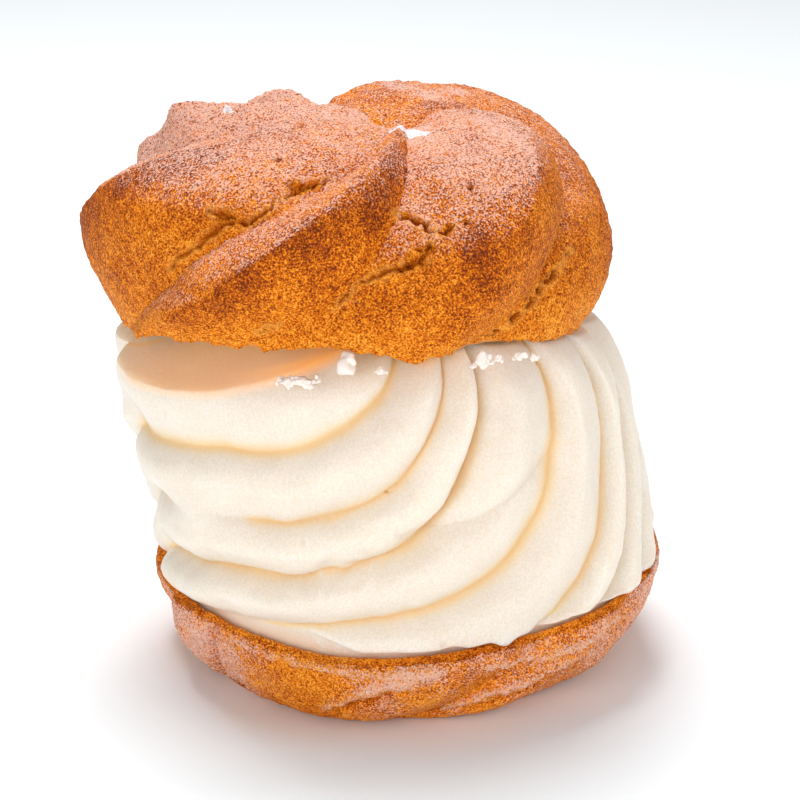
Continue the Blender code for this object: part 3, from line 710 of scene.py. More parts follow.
def track_map(points, track, spot):
    """For each point, its distance from a track, and the track's half width nearest to it.

    The function spot turns the first two numbers of each of the track's rows into a point.
    """
    spots = np.array([spot(first, second) for first, second, _width in track])
    widths = np.array([width for _first, _second, width in track])
    nearest = np.full(points.shape[:-1], 1e3)
    half_width = np.zeros(points.shape[:-1])
    for start, end, first, last in zip(spots, spots[1:], widths, widths[1:]):
        step = end - start
        share = np.clip((points - start) @ step / (step @ step), 0.0, 1.0)
        gap = np.linalg.norm(points - start - share[..., None] * step, axis=-1)
        closer = gap < nearest
        nearest = np.where(closer, gap, nearest)
        half_width = np.where(closer, first + (last - first) * share, half_width)
    return nearest, half_width


def skin_object(name, points, body, attributes, material):
    """A closed mesh from a skin's rows, with a vertex at each pole, that rides on a body.

    The attributes are numbers for each point of the rows, and reach the material by name.
    """
    rows, around = points.shape[:2]
    poles = np.array((points[0].mean(axis=0), points[-1].mean(axis=0)))
    vertices = np.concatenate((points.reshape(-1, 3), poles)) * METRE
    index = np.arange(rows * around).reshape(rows, around)
    following = np.roll(index, -1, axis=1)
    quads = np.stack((index[:-1], index[1:], following[1:], following[:-1]), axis=-1)
    top = rows * around
    caps = [(top, int(a), int(b)) for a, b in zip(index[0], following[0])]
    caps += [(top + 1, int(b), int(a)) for a, b in zip(index[-1], following[-1])]
    mesh = bpy.data.meshes.new(name)
    mesh.from_pydata(vertices.tolist(), [], quads.reshape(-1, 4).tolist() + caps)
    mesh.shade_smooth()
    for label, values in attributes.items():
        flat = np.concatenate((values.ravel(), (values[0].mean(), values[-1].mean())))
        layer = mesh.attributes.new(label, "FLOAT", "POINT")
        layer.data.foreach_set("value", flat.astype(np.float32))
    mesh.materials.append(material)
    skin = bpy.data.objects.new(name, mesh)
    bpy.context.scene.collection.objects.link(skin)
    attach(skin, body)
    return skin


def lid_browning(azimuth, turn, upward):
    """How brown each point of the lid is: baked darker, with painted shade beside the crests, and how
    much sugar it catches.
    """
    petals = lid_petal_rows(turn)
    browning = np.zeros_like(azimuth)
    sugar = np.zeros_like(azimuth)
    for index, (crest_brown, after, before, dusting, lowest) in enumerate(PETAL_BROWNING):
        _share, past, here = petal_share(azimuth, petals, index)
        brown = crest_brown * hill(past, np.where(past > 0, after, before))
        browning = np.where(here, brown, browning)
        sugar = np.where(here, dusting * smooth_step(lowest, lowest + SUGAR_HOLD, upward), sugar)
    return browning, sugar


def spots_map(points, rows, fringe):
    """How far each point lies inside the round spots of rows, from 0 outside to 1 within."""
    inside = np.zeros(points.shape[:-1])
    for turn, azimuth, radius in rows:
        gap = np.linalg.norm(points - lid_spot(turn, azimuth), axis=-1)
        spot = smooth_step(radius * (1.0 + fringe), radius * (1.0 - fringe), gap)
        inside = np.maximum(inside, spot)
    return inside


def zone_runs(first, zones, last, rows):
    """Runs of a skin's rows, from a first to a last one, with a number of rows for each zone."""
    borders = (first, *zones, last)
    runs = [np.linspace(*ends, count)[1:] for *ends, count in zip(borders, borders[1:], rows)]
    return np.concatenate(([first], *runs))


def lid_cracks(wobble, points):
    """How torn each point of the lid is by cracks and pits, and how much of a lip it is."""
    torn = spots_map(wobble, LID_PITS, 0.5)
    lip = np.zeros_like(torn)
    uneven = 1.0 + layered(points, LID_CRACK_RAGS)
    for track in LID_CRACKS:
        gap, half_width = track_map(wobble, track, lid_spot)
        half_width = half_width * uneven
        crack = smooth_step(half_width * CRACK_EDGE[0], half_width * CRACK_EDGE[1], gap)
        torn = np.maximum(torn, crack)
        lip = np.maximum(lip, hill(gap - half_width * CRACK_LIP_PLACE, CRACK_LIP_WIDTH))
    return torn, lip


def make_lid(settings):
    """The lid's crust: blisters, cracks, flakes, pits and a ragged cut edge over the dome."""
    skirt, cut = LID_ZONES[1:]
    azimuth, run = fine_grid(LID_AROUND, zone_runs(0.005, LID_ZONES, 0.995, LID_ROWS))
    points = lid_points(azimuth, run)
    normals = skin_normals(points)
    turn = lid_turn(run)
    outside = smooth_step(skirt + 0.02, skirt, run)
    inner = smooth_step(skirt, cut, run)
    wobble = shifted(points, LID_WOBBLE)
    torn, lip = lid_cracks(wobble, points)
    flaked = spots_map(shifted(points, LID_FLAKE_WOBBLE), LID_FLAKES, 0.25)
    lip = lip * (1.0 - torn) * (1.0 - flaked)

    raised = settings.blister_height / METRE * layered(points, LID_BLISTERS)
    rough_turn, turn_reach, rough_azimuth, azimuth_reach = LID_ROUGH_PLACE
    rough = hill(turn - rough_turn, turn_reach)
    rough = rough * hill(angle_between(azimuth, rough_azimuth), azimuth_reach)
    raised = raised + rough * layered(points, LID_ROUGHNESS)
    raised = raised - settings.crack_depth / METRE * torn + CRACK_LIP_HEIGHT * lip
    raised = raised - flaked * (LID_FLAKE_DEPTH - layered(points, LID_FLAKE_CRUMBS))
    rag = settings.edge_raggedness / METRE
    edge = hill(run - skirt, LID_EDGE_REACH)
    raised = raised * outside + rag * edge * layered(points, LID_EDGE_LUMPS)
    raised = raised + inner * layered(points, LID_CRUMB_LUMPS)
    surface = points + normals * raised[..., None]
    surface[..., 2] += rag * (layered(points, LID_EDGE_RAGS) + LID_EDGE_LIFT) * edge

    browning, sugar = lid_browning(azimuth, turn, normals[..., 2])
    browning = browning * smooth_step(*LID_BROWN_START, turn) * smooth_step(*LID_BROWN_END, turn)
    browning = browning + layered(points, LID_BROWN_CLOUDS)
    browning = browning - LID_SKIRT_PALENESS * smooth_step(LID_DOME_TURN, 1.0, turn)
    scattered = shifted(points, LID_SCATTER)
    # Darker places: partly deeper baking, partly painted shade on the flanks beside the crests.
    browning = browning + 0.6 * spots_map(scattered, LID_BROWN_PLACES, 0.6)
    sugar = (sugar + 0.6 * spots_map(scattered, LID_SUGARED_PLACES, 0.6)) * outside
    sugar = sugar * (1.0 - torn) * (1.0 - 0.8 * flaked)
    attributes = {
        "browning": np.clip(LID_BROWNING + browning, 0.0, 1.0),
        "sugar": np.clip(sugar, 0.0, 1.0),
        "heap": spots_map(scattered, LID_SUGAR_HEAPS, 0.45),
        "torn": torn,
        "flaked": flaked,
        "lip": lip,
        "crumb": inner,
    }
    lid = skin_object("lid_crust", surface, "root", attributes,
                      crust_material("lid_crust", settings))
    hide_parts("shell_lid")
    return surface, normals, attributes["sugar"]


def shell_marks(wobble):
    """How much of a ridge and of a groove each point of the lower shell is."""
    ridge = np.zeros(wobble.shape[:-1])
    for track in SHELL_RIDGES:
        gap, half_width = track_map(wobble, track, shell_spot)
        ridge = np.maximum(ridge, hill(gap, half_width))
    groove = np.zeros_like(ridge)
    for track in SHELL_GROOVES:
        gap, half_width = track_map(wobble, track, shell_spot)
        groove = np.maximum(groove, smooth_step(half_width * 1.5, 0.0, gap))
    return ridge, groove


def shell_sugar(azimuth, run, points, upward):
    """The sugar that the lower shell catches: on its crests, and thick in some places."""
    rows = shell_flute_rows(shell_wall_level(run))
    crest = np.zeros_like(azimuth)
    for index in range(len(rows)):
        share, _past, here = petal_share(azimuth, rows, index)
        crest = np.where(here, share, crest)
    middle, reach = SHELL_SHELTER
    sugar = 0.4 * smooth_step(0.35, 1.0, crest) * np.clip(upward + 0.35, 0.0, 1.0)
    sugar = 0.2 + sugar + layered(points, SHELL_SUGAR_CLOUDS)
    sugar = sugar * (1.0 - 0.9 * hill(angle_between(azimuth, middle), reach))
    scattered = shifted(points, SHELL_SCATTER)
    for place_run, place_azimuth, radius in SHELL_SUGARED_PLACES:
        gap = np.linalg.norm(scattered - shell_spot(place_run, place_azimuth), axis=-1)
        sugar = sugar + 0.45 * smooth_step(radius * 1.5, radius * 0.1, gap)
    return sugar


def make_base(settings):
    """The lower shell: fluted, dusted on its ridges, with a thin torn rim."""
    dish, rim, wall = SHELL_ZONES
    azimuth, run = fine_grid(SHELL_AROUND, zone_runs(0.01, SHELL_ZONES, 0.99, SHELL_ROWS))
    points = shell_points(azimuth, run)
    normals = skin_normals(points)
    wall_share = stretch(run, rim, wall)
    outside = smooth_step(rim - 0.02, rim + 0.01, run) * smooth_step(1.0, 0.93, wall_share)
    rim_middle = 0.5 * (dish + rim)
    ridge, groove = shell_marks(shifted(points, SHELL_WOBBLE))
    raised = settings.blister_height / METRE * layered(points, SHELL_BLISTERS)
    raised = (raised + SHELL_RIDGE_HEIGHT * ridge - SHELL_GROOVE_DEPTH * groove) * outside
    surface = points + normals * raised[..., None]
    rag = settings.edge_raggedness / METRE
    surface[..., 2] += rag * layered(points, SHELL_EDGE_RAGS) * hill(run - rim_middle, SHELL_EDGE_REACH)
    surface[..., 2] = np.maximum(surface[..., 2], 0.0)

    sugar = shell_sugar(azimuth, run, points, normals[..., 2]) + 0.6 * ridge - 0.3 * groove
    sugar = sugar * outside * smooth_step(1.0, 0.8, wall_share)
    near_rim = smooth_step(0.08, 0.0, wall_share) * (run > rim_middle)
    browning = SHELL_BROWNING + layered(points, SHELL_BROWN_CLOUDS) + 0.2 * groove + 0.2 * near_rim
    attributes = {
        "browning": np.clip(browning, 0.0, 1.0),
        "sugar": np.clip(sugar, 0.0, 1.0),
        "heap": np.zeros_like(azimuth),
        "torn": 0.5 * groove,
        "flaked": np.zeros_like(azimuth),
        "lip": ridge * outside,
        "crumb": 0.5 * smooth_step(dish + 0.02, dish - 0.02, run),
    }
    base = skin_object("base_crust", surface, "root", attributes,
                       crust_material("base_crust", settings))
    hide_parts("shell_bottom")
    return surface, normals, attributes["sugar"]


def cream_runs():
    """Runs of the cream's skin: even in height where it shows, and few where it is hidden."""
    shoulder, foot = CREAM_ZONES
    heights = np.linspace(63.4, CREAM_SHOULDER_HEIGHT + 0.05, 62)
    rise = (heights - CREAM_SHOULDER_HEIGHT) / (CREAM_TOP_HEIGHT - CREAM_SHOULDER_HEIGHT)
    top = np.arccos(np.clip(rise, 0.0, 1.0) ** (CREAM_SQUARENESS / 2.0)) / (np.pi / 2) * shoulder
    return np.concatenate((np.linspace(0.01, top[0], 10)[:-1], top,
                           np.linspace(shoulder, foot, 66), np.linspace(foot, 0.99, 14)[1:]))


def cream_drips(azimuth, level, rim_gap, normals):
    """How far each point of the cream hangs out and down over the rim, where it drips."""
    drip = sum(share * hill(angle_between(azimuth, middle), reach)
               for share, middle, reach in CREAM_DRIPS)
    drip = drip * (1.0 + layered(level, CREAM_DRIP_RAGS))
    height, reach = CREAM_DRIP_PLACE
    hanging = drip * hill(rim_gap - height, reach)
    outward = normals * (1.0, 1.0, 0.0) * CREAM_DRIP_OUT
    return hanging[..., None] * (outward + (0.0, 0.0, -CREAM_DRIP_DOWN))


def make_cream(settings):
    """The piped cream: wavering ridges with fine streaks, a ragged lip and small bubbles."""
    azimuth, run = fine_grid(CREAM_AROUND, cream_runs())
    plain, _count, _crease = cream_points(azimuth, run)
    level = plain * (1.0, 1.0, CREAM_LEVELLING)
    rag_azimuth, rag_width, rag_height, rag_reach = CREAM_RAGGED_PLACE
    ragged = hill(angle_between(azimuth, rag_azimuth), rag_width)
    ragged = ragged * hill(plain[..., 2] - rag_height, rag_reach)
    waver = layered(plain, CREAM_WAVER) + ragged * layered(level, CREAM_RAGS)
    lift_height, lift_azimuth, lift_width = CREAM_RIM_LIFT
    lift = lift_height * hill(angle_between(azimuth, lift_azimuth), lift_width)
    points, count, crease = cream_points(azimuth, run, waver, lift + layered(level, CREAM_RIM_RAGS))
    normals = skin_normals(points)
    shown = smooth_step(CREAM_ZONES[1], CREAM_ZONES[1] - 0.03, run)
    streaks = np.stack((count * 7.0, azimuth * 0.02, points[..., 2] * 0.02), axis=-1)
    raised = bumps(streaks, 1.0, 45) + 0.5 * bumps(streaks * 2.3, 1.0, 46)
    raised = settings.streak_depth / METRE * raised + layered(points, CREAM_LUMPS)
    raised = raised - CREAM_BUBBLE_DEPTH * smooth_step(0.82, 0.96, bumps(points, 1.3, 50))
    surface = points + normals * (raised * shown)[..., None]
    rim_gap = surface[..., 2] - shell_rim_height(azimuth)
    surface = surface + cream_drips(azimuth, level, rim_gap, normals) * shown[..., None]
    ceiling = cream_ceiling(surface[..., 0], surface[..., 1]) - 0.1
    surface[..., 2] = np.minimum(surface[..., 2], np.maximum(ceiling, 12.0))

    # Painted shade and glow: where the cream's top lies under the lid's front edge, it is coloured a
    # warm dark orange and made to glow. This stands in for the lid's shadow and the warm light bounced
    # off the crust.
    above = lid_ceiling(surface[..., 0], surface[..., 1]) - surface[..., 2]
    middle, reach = CREAM_SHADE_POCKET
    shade = smooth_step(1.6, 0.0, ceiling - surface[..., 2])
    shade = shade * (0.4 + 0.6 * smooth_step(5.5, 1.5, above))
    shade = shade * np.exp(-(angle_between(azimuth, middle) / reach) ** 4)
    deep = smooth_step(-8.0, -24.0, surface[..., 0])
    attributes = {
        # How much of a crease each point is: the material paints warm shade there.
        "crease": np.clip(crease, 0.0, 1.0) * shown,
        "foot": smooth_step(5.0, 0.3, rim_gap) ** 2,
        "pocket_shade": shade * (1.0 - 0.35 * deep),
        "glow": shade * (0.4 + 0.6 * deep),
    }
    cream = skin_object("whipped_cream", surface, "root", attributes, cream_material(settings))
    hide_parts("cream_filling")


# ---------------------------------------------------------------- crumbs and sugar

def unit_lump(detail):
    """Vertices and faces of a small ball: an octahedron, each face cut in four detail times."""
    vertices = [Vector(v) for v in
                ((1, 0, 0), (-1, 0, 0), (0, 1, 0), (0, -1, 0), (0, 0, 1), (0, 0, -1))]
    faces = [(0, 2, 4), (2, 1, 4), (1, 3, 4), (3, 0, 4), (2, 0, 5), (1, 2, 5), (3, 1, 5), (0, 3, 5)]
    for _cut in range(detail):
        middles = {}
        finer = []
        for a, b, c in faces:
            corners = []
            for first, last in ((a, b), (b, c), (c, a)):
                pair = (min(first, last), max(first, last))
                if pair not in middles:
                    middles[pair] = len(vertices)
                    vertices.append((vertices[first] + vertices[last]).normalized())
                corners.append(middles[pair])
            ab, bc, ca = corners
            finer += [(a, ab, ca), (ab, b, bc), (ca, bc, c), (ab, bc, ca)]
        faces = finer
    return np.array(vertices), np.array(faces)


def scatter_lumps(name, places, sizes, stretches, detail, roughness, material, seed):
    """One mesh of many small uneven lumps, that rides on the puff."""
    rng = np.random.default_rng(seed)
    ball, faces = unit_lump(detail)
    count = len(places)
    turns = rng.normal(size=(count, 3, 3))
    turns = np.linalg.qr(turns)[0]
    turns *= np.sign(np.linalg.det(turns))[:, None, None]
    uneven = bumps(ball[None] * 1.4 + rng.uniform(0, 500, (count, 1, 3)), 1.0, seed)
    shapes = ball[None] * (1.0 + roughness * uneven[..., None])
    shapes = shapes * rng.uniform(0.75, 1.2, (count, 1, 3))
    shapes = np.einsum("nij,nvj->nvi", turns, shapes)
    shapes = shapes * np.asarray(sizes)[:, None, None]
    shapes[..., 2] *= np.asarray(stretches)[:, None]
    vertices = (shapes + np.asarray(places)[:, None]).reshape(-1, 3) * METRE
    all_faces = (faces[None] + np.arange(count)[:, None, None] * len(ball)).reshape(-1, 3)
    mesh = bpy.data.meshes.new(name)
    mesh.from_pydata(vertices.tolist(), [], all_faces.tolist())
    mesh.shade_smooth()
    mesh.materials.append(material)
    lumps = bpy.data.objects.new(name, mesh)
    bpy.context.scene.collection.objects.link(lumps)
    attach(lumps, "root")
    return lumps


def sugar_places(skin, count, rng):
    """Points for grains of sugar, more of them where the skin is dusted most."""
    surface, normals, sugar = skin
    area = np.linalg.norm(np.cross(np.gradient(surface, axis=0), np.gradient(surface, axis=1)), axis=-1)
    weight = (np.clip(sugar - 0.25, 0.0, None) * area).ravel()
    chosen = rng.choice(weight.size, size=count, replace=True, p=weight / weight.sum())
    along = np.gradient(surface, axis=0).reshape(-1, 3)[chosen]
    across = np.gradient(surface, axis=1).reshape(-1, 3)[chosen]
    jitter = rng.uniform(-0.5, 0.5, (count, 2, 1))
    spread = np.clip(along, -1, 1) * jitter[:, 0] + np.clip(across, -1, 1) * jitter[:, 1]
    return surface.reshape(-1, 3)[chosen] + spread, normals.reshape(-1, 3)[chosen]


def make_sugar(settings, lid, base):
    """Grains of icing sugar on the lid and on the flutes of the lower shell."""
    rng = np.random.default_rng(settings.seed)
    material = plain_material("icing_sugar", settings.color, 0.7)
    size = settings.grain_size / METRE / 2
    for name, skin, count in (("lid_sugar", lid, settings.lid_grains),
                              ("base_sugar", base, settings.base_grains)):
        places, normals = sugar_places(skin, count, rng)
        sizes = size * rng.uniform(0.5, 1.3, count) ** 1.5
        places = places + normals * (sizes * 0.35)[:, None]
        scatter_lumps(name, places, sizes, np.full(count, 0.8), 0, 0.3, material, settings.seed + 1)


def make_crumbs(settings):
    """Crumbs of cream and sugar along the top of the cream, under the lid's front edge."""
    rows = np.array(CRUMBS)
    rng = np.random.default_rng(5)
    places = [rows[:, :3]]
    sizes = [rows[:, 3]]
    stretches = [rows[:, 4]]
    for row in rows:
        around = row[:3] + rng.normal(size=(3, 3)) * row[3] * (0.9, 0.3, 0.5)
        places.append(around)
        sizes.append(row[3] * rng.uniform(0.3, 0.55, 3))
        stretches.append(np.ones(3))
    material = plain_material("loose_crumbs", settings.color, 0.6)
    scatter_lumps("loose_crumbs", np.concatenate(places), np.concatenate(sizes) * settings.crumb_scale,
                  np.concatenate(stretches), 3, 0.9, material, 9)


# ---------------------------------------------------------------------- materials

class Value:
    """A socket in a formula. Adding, taking away and multiplying make Math nodes."""

    def __init__(self, shading, socket):
        self.shading = shading
        self.socket = socket

    def __add__(self, other):
        return self.shading.math("ADD", self, other)

    def __sub__(self, other):
        return self.shading.math("SUBTRACT", self, other)

    def __mul__(self, other):
        return self.shading.math("MULTIPLY", self, other)

    def __rsub__(self, other):
        return self.shading.math("SUBTRACT", other, self)

    __radd__ = __add__
    __rmul__ = __mul__


class Shading:
    """One material's nodes, its Principled shader, and short ways to add to them."""

    def __init__(self, name):
        self.material = bpy.data.materials.new(name)
        self.material.use_nodes = True
        self.tree = self.material.node_tree
        self.shader = self.tree.nodes["Principled BSDF"]

    def node(self, kind, settings, inputs, output=0):
        """Add a node: its settings first, then its sockets' values or links."""
        made = self.tree.nodes.new(kind)
        for name, value in settings.items():
            setattr(made, name, value)
        for name, value in inputs.items():
            self.feed(made.inputs[name], value)
        return Value(self, made.outputs[output])

    def feed(self, socket, value):
        """Link a value to a socket, or set the socket to a number or a colour."""
        if isinstance(value, Value):
            self.tree.links.new(value.socket, socket)
        else:
            socket.default_value = value

    def finish(self, inputs):
        """Feed the shader's own sockets, and return the material."""
        for name, value in inputs.items():
            self.feed(self.shader.inputs[name], value)
        return self.material

    def math(self, operation, first, second):
        return self.node("ShaderNodeMath", {"operation": operation}, {0: first, 1: second})

    def mix(self, share, first, second):
        """A colour between two colours."""
        settings = {"data_type": "RGBA", "clamp_factor": True}
        return self.node("ShaderNodeMix", settings, {0: share, 6: first, 7: second}, 2)

    def step(self, value, low, high):
        """0 below low, 1 above high and an S curve between."""
        return self.node("ShaderNodeMapRange", {"interpolation_type": "SMOOTHSTEP"},
                         {"Value": value, "From Min": low, "From Max": high})

    def noise(self, size, detail=2.0, roughness=0.5):
        """Cloudy noise round 0.5, with patches of about a size in millimetres."""
        place = self.node("ShaderNodeTexCoord", {}, {}, "Object")
        return self.node("ShaderNodeTexNoise", {},
                         {"Vector": place, "Scale": 1.0 / (size * METRE), "Detail": detail,
                          "Roughness": roughness})

    def attribute(self, name):
        """A number that the mesh carries at each point."""
        return self.node("ShaderNodeAttribute", {"attribute_name": name}, {}, "Fac")

    def bump(self, height, distance, strength=1.0):
        """Fine relief: height of 1 stands out by distance, in millimetres."""
        return self.node("ShaderNodeBump", {}, {"Height": height, "Distance": distance * METRE,
                                                "Strength": strength}, "Normal")


def crust_material(name, settings):
    """Baked choux: golden to dark brown, finely speckled, with sugar that has half melted."""
    shading = Shading(name)
    mix, step, attribute = shading.mix, shading.step, shading.attribute
    grain = shading.noise(0.29, 2.0, 0.6) - 0.5
    fleck = shading.noise(1.0, 2.0, 0.6) - 0.5
    patch = shading.noise(4.5, 3.0, 0.5) - 0.5
    powder = shading.noise(0.32, 1.0, 0.5) - 0.5
    cover = shading.noise(2.2, 3.0, 0.6) - 0.5
    flaked = step(attribute("flaked") + fleck * 0.8, 0.25, 0.75)
    tone = attribute("browning") + grain * 5.5 + fleck * 1.8 + patch * 0.8 - flaked * 0.3
    color = mix(step(tone, -0.15, 0.5), settings.golden, settings.brown)
    color = mix(step(tone, 0.5, 1.1), color, settings.dark)
    color = mix(step(tone, 1.1, 1.6), color, settings.pore)
    # Pale specks: partly the crust's own pale grains, partly painted glints of light.
    color = mix(step(tone, -0.2, -0.8), color, settings.grain)
    torn = step(attribute("torn") + fleck * 0.5, 0.2, 0.7)
    color = mix(torn * 0.7, color, settings.torn)
    color = mix(attribute("lip") * 0.4, color, settings.pale)
    color = mix(attribute("crumb"), color, settings.inside)
    dusted = attribute("sugar")
    sugar = step(dusted * 1.2 + powder * 4.0 - grain * 2.8 + cover * 1.4, 0.3, 1.3)
    sugar = sugar * step(dusted, 0.0, 0.3) * settings.sugar_strength
    color = mix(sugar, color, settings.sugar)
    heap = step(attribute("heap") + powder * 0.8, 0.35, 0.65)
    relief = grain * 0.8 + powder * 0.4 + fleck * (0.8 + (flaked + torn) * 2.0)
    return shading.finish({
        "Base Color": mix(heap, color, settings.heap),
        "Roughness": 0.6 + sugar * 0.3,
        "Normal": shading.bump(relief, settings.grain_relief / METRE),
        "Specular IOR Level": 0.12,
        "Subsurface Weight": 0.06,
        "Subsurface Radius": (1.0, 0.4, 0.15),
        "Subsurface Scale": 0.001,
    })


def cream_material(settings):
    """Whipped cream: ivory, soft and slightly see-through, with painted warm shade down in its creases.
    """
    shading = Shading("whipped_cream")
    mix, step, attribute = shading.mix, shading.step, shading.attribute
    cloud = shading.noise(6.0, 3.0, 0.5)
    fine = shading.noise(0.35, 2.0, 0.5)
    crease = attribute("crease")
    line = crease * crease
    line = line * line * line
    foot = attribute("foot")
    stain = foot * step(cloud + (fine - 0.5) * 0.5 + foot * 0.25, 0.45, 0.7)
    color = mix(cloud + (fine - 0.5) * 4.0, settings.cream, settings.cream_warm)
    # Painted shade: a warm tan line down in each crease.
    color = mix(step(line, 0.05, 0.95) * 0.85, color, settings.crease)
    color = mix(stain * 0.7, color, settings.stain)
    return shading.finish({
        # Painted shade under the lid's front edge, and a painted glow there in place of warm light
        # bounced off the crust.
        "Base Color": mix(attribute("pocket_shade"), color, settings.pocket_shade),
        "Emission Color": mix(attribute("glow"), (0.0, 0.0, 0.0, 1.0), settings.glow),
        "Emission Strength": 1.0,
        "Normal": shading.bump(fine, 0.05),
        "Roughness": 0.42,
        "Specular IOR Level": 0.35,
        "Subsurface Weight": 0.8,
        "Subsurface Radius": (1.0, 0.85, 0.65),
        "Subsurface Scale": 0.006,
    })


def plain_material(name, color, roughness):
    """One colour and hardly any shine: for sugar, crumbs and the floor."""
    return Shading(name).finish(
        {"Base Color": color, "Roughness": roughness, "Specular IOR Level": 0.2})


# ------------------------------------------------------------------------- stage

def aimed(thing, place, target):
    """Put a camera or a light at a place, facing a target."""
    thing.location = Vector(place)
    thing.rotation_euler = (Vector(target) - Vector(place)).to_track_quat("-Z", "Y").to_euler()
    bpy.context.scene.collection.objects.link(thing)
    return thing


def soft_light(name, place, size, power, target):
    """A square soft box."""
    lamp = bpy.data.lights.new(name, "AREA")
    lamp.size = size
    lamp.energy = power
    return aimed(bpy.data.objects.new(name, lamp), place, target)


def make_stage(settings):
    """A pale floor, a soft sky, three soft boxes and the camera."""
    scene = bpy.context.scene
    size = settings.floor_size / 2
    mesh = bpy.data.meshes.new("floor")
    corners = [(-size, -size, 0), (size, -size, 0), (size, size, 0), (-size, size, 0)]
    mesh.from_pydata(corners, [], [(0, 1, 2, 3)])
    mesh.materials.append(plain_material("pale_floor", settings.floor, 0.7))
    floor = bpy.data.objects.new("floor", mesh)
    scene.collection.objects.link(floor)

    sky = bpy.data.worlds.new("sky")
    sky.use_nodes = True
    background = sky.node_tree.nodes["Background"]
    background.inputs["Color"].default_value = settings.sky
    background.inputs["Strength"].default_value = settings.sky_strength
    scene.world = sky

    middle = (0.0, 0.0, 0.045)
    soft_light("overhead_box", (-0.08, 0.2, 0.62), 0.34, settings.overhead_power, middle)
    soft_light("front_box", (-0.22, -0.58, 0.17), 0.4, settings.front_power, middle)
    soft_light("side_box", (0.55, -0.2, 0.22), 0.4, settings.side_power, middle)

    lens = bpy.data.cameras.new("camera")
    lens.sensor_width = 36.0
    lens.lens = 36.0 * 0.55 / 0.126
    lift = settings.camera_elevation
    target = Vector((-0.0011, 0.0, 0.0409))
    back = Vector((0.0, -math.cos(lift), math.sin(lift)))
    scene.camera = aimed(bpy.data.objects.new("camera", lens),
                         target + back * settings.camera_distance, target)
    scene.view_settings.view_transform = "Standard"


# ---------------------------------------------------------------------- settings

def color_setting(name, default, description):
    """A colour that the panel shows."""
    return bpy.props.FloatVectorProperty(
        name=name, description=description, default=(*default, 1.0), size=4, min=0.0, max=1.0,
        subtype="COLOR")


def length_setting(name, default, description):
    """A length that the panel shows, in metres."""
    return bpy.props.FloatProperty(
        name=name, description=description, default=default, min=0.0, precision=5,
        subtype="DISTANCE", unit="LENGTH")


class CrustSettings(bpy.types.PropertyGroup):
    """Sizes and colours of baked choux."""

    blister_height: length_setting("Blisters", 0.00045, "How far the blisters of the crust stand out")
    crack_depth: length_setting("Crack depth", 0.0012, "How deep the cracks are")
    edge_raggedness: length_setting("Ragged edge", 0.0008, "How uneven the cut edge is")
    grain_relief: length_setting("Grain", 0.00042, "Height of the crust's fine grain")
    golden: color_setting("Golden", (0.90, 0.27, 0.008), "Where the crust is baked least")
    brown: color_setting("Brown", (0.56, 0.112, 0.002), "The crust's main colour")
    dark: color_setting("Dark brown", (0.27, 0.042, 0.001), "Where the crust is baked most")
    pore: color_setting("Pores", (0.14, 0.022, 0.002), "Down in the crust's finest pores")
    # Pale specks: partly the crust's own grains, partly painted glints.
    grain: color_setting("Grains", (0.98, 0.44, 0.06), "The crust's finest pale grains")
    torn: color_setting("Torn", (0.55, 0.12, 0.002), "Inside the cracks")
    pale: color_setting("Pale lip", (0.95, 0.42, 0.07), "The lips of the cracks and edges")
    inside: color_setting("Inside", (0.87, 0.62, 0.28), "The crumb inside the shell")
    sugar: color_setting("Melted sugar", (0.80, 0.49, 0.40), "Sugar that has melted on the crust")
    heap: color_setting("Sugar heaps", (0.84, 0.77, 0.79), "Sugar that lies thick and white")
    sugar_strength: bpy.props.FloatProperty(
        name="Sugar cover", description="How much the melted sugar hides the crust",
        default=0.85, min=0.0, max=1.0, subtype="FACTOR")


class CreamSettings(bpy.types.PropertyGroup):
    """Sizes and colours of the cream."""

    streak_depth: length_setting("Streaks", 0.00007, "Depth of the fine streaks along the ridges")
    cream: color_setting("Cream", (0.83, 0.755, 0.67), "The cream's lighter colour")
    cream_warm: color_setting("Warm cream", (0.78, 0.685, 0.57), "The cream's warmer colour")
    # Painted shade down in the creases.
    crease: color_setting("Creases", (0.88, 0.62, 0.27), "Down in the creases")
    # Painted shade: the warm dark colour of the lid's shadow on the cream.
    pocket_shade: color_setting("Pocket", (0.95, 0.42, 0.06), "Where the lid has stained the cream")
    # Painted glow: light that the cream gives off under the lid, in place of warm light bounced off the
    # crust.
    glow: color_setting("Glow", (0.50, 0.26, 0.095), "Light that comes through the lid there")
    stain: color_setting("Stain", (0.86, 0.54, 0.34), "Where the cream has touched the crust")


class SugarSettings(bpy.types.PropertyGroup):
    """Icing sugar."""

    grain_size: length_setting("Grain size", 0.00022, "Mean width of a grain")
    lid_grains: bpy.props.IntProperty(
        name="Grains on the lid", description="Number of grains on the lid", default=4200, min=0)
    base_grains: bpy.props.IntProperty(
        name="Grains on the shell", description="Number of grains on the shell", default=1800, min=0)
    seed: bpy.props.IntProperty(name="Seed", description="Changes where the grains lie", default=3)
    color: color_setting("Colour", (0.90, 0.72, 0.64), "The grains' colour")


class CrumbSettings(bpy.types.PropertyGroup):
    """Loose crumbs."""

    crumb_scale: bpy.props.FloatProperty(
        name="Size", description="Size of the crumbs, 1 for their usual size", default=1.0, min=0.0)
    color: color_setting("Colour", (0.88, 0.79, 0.72), "The crumbs' colour")


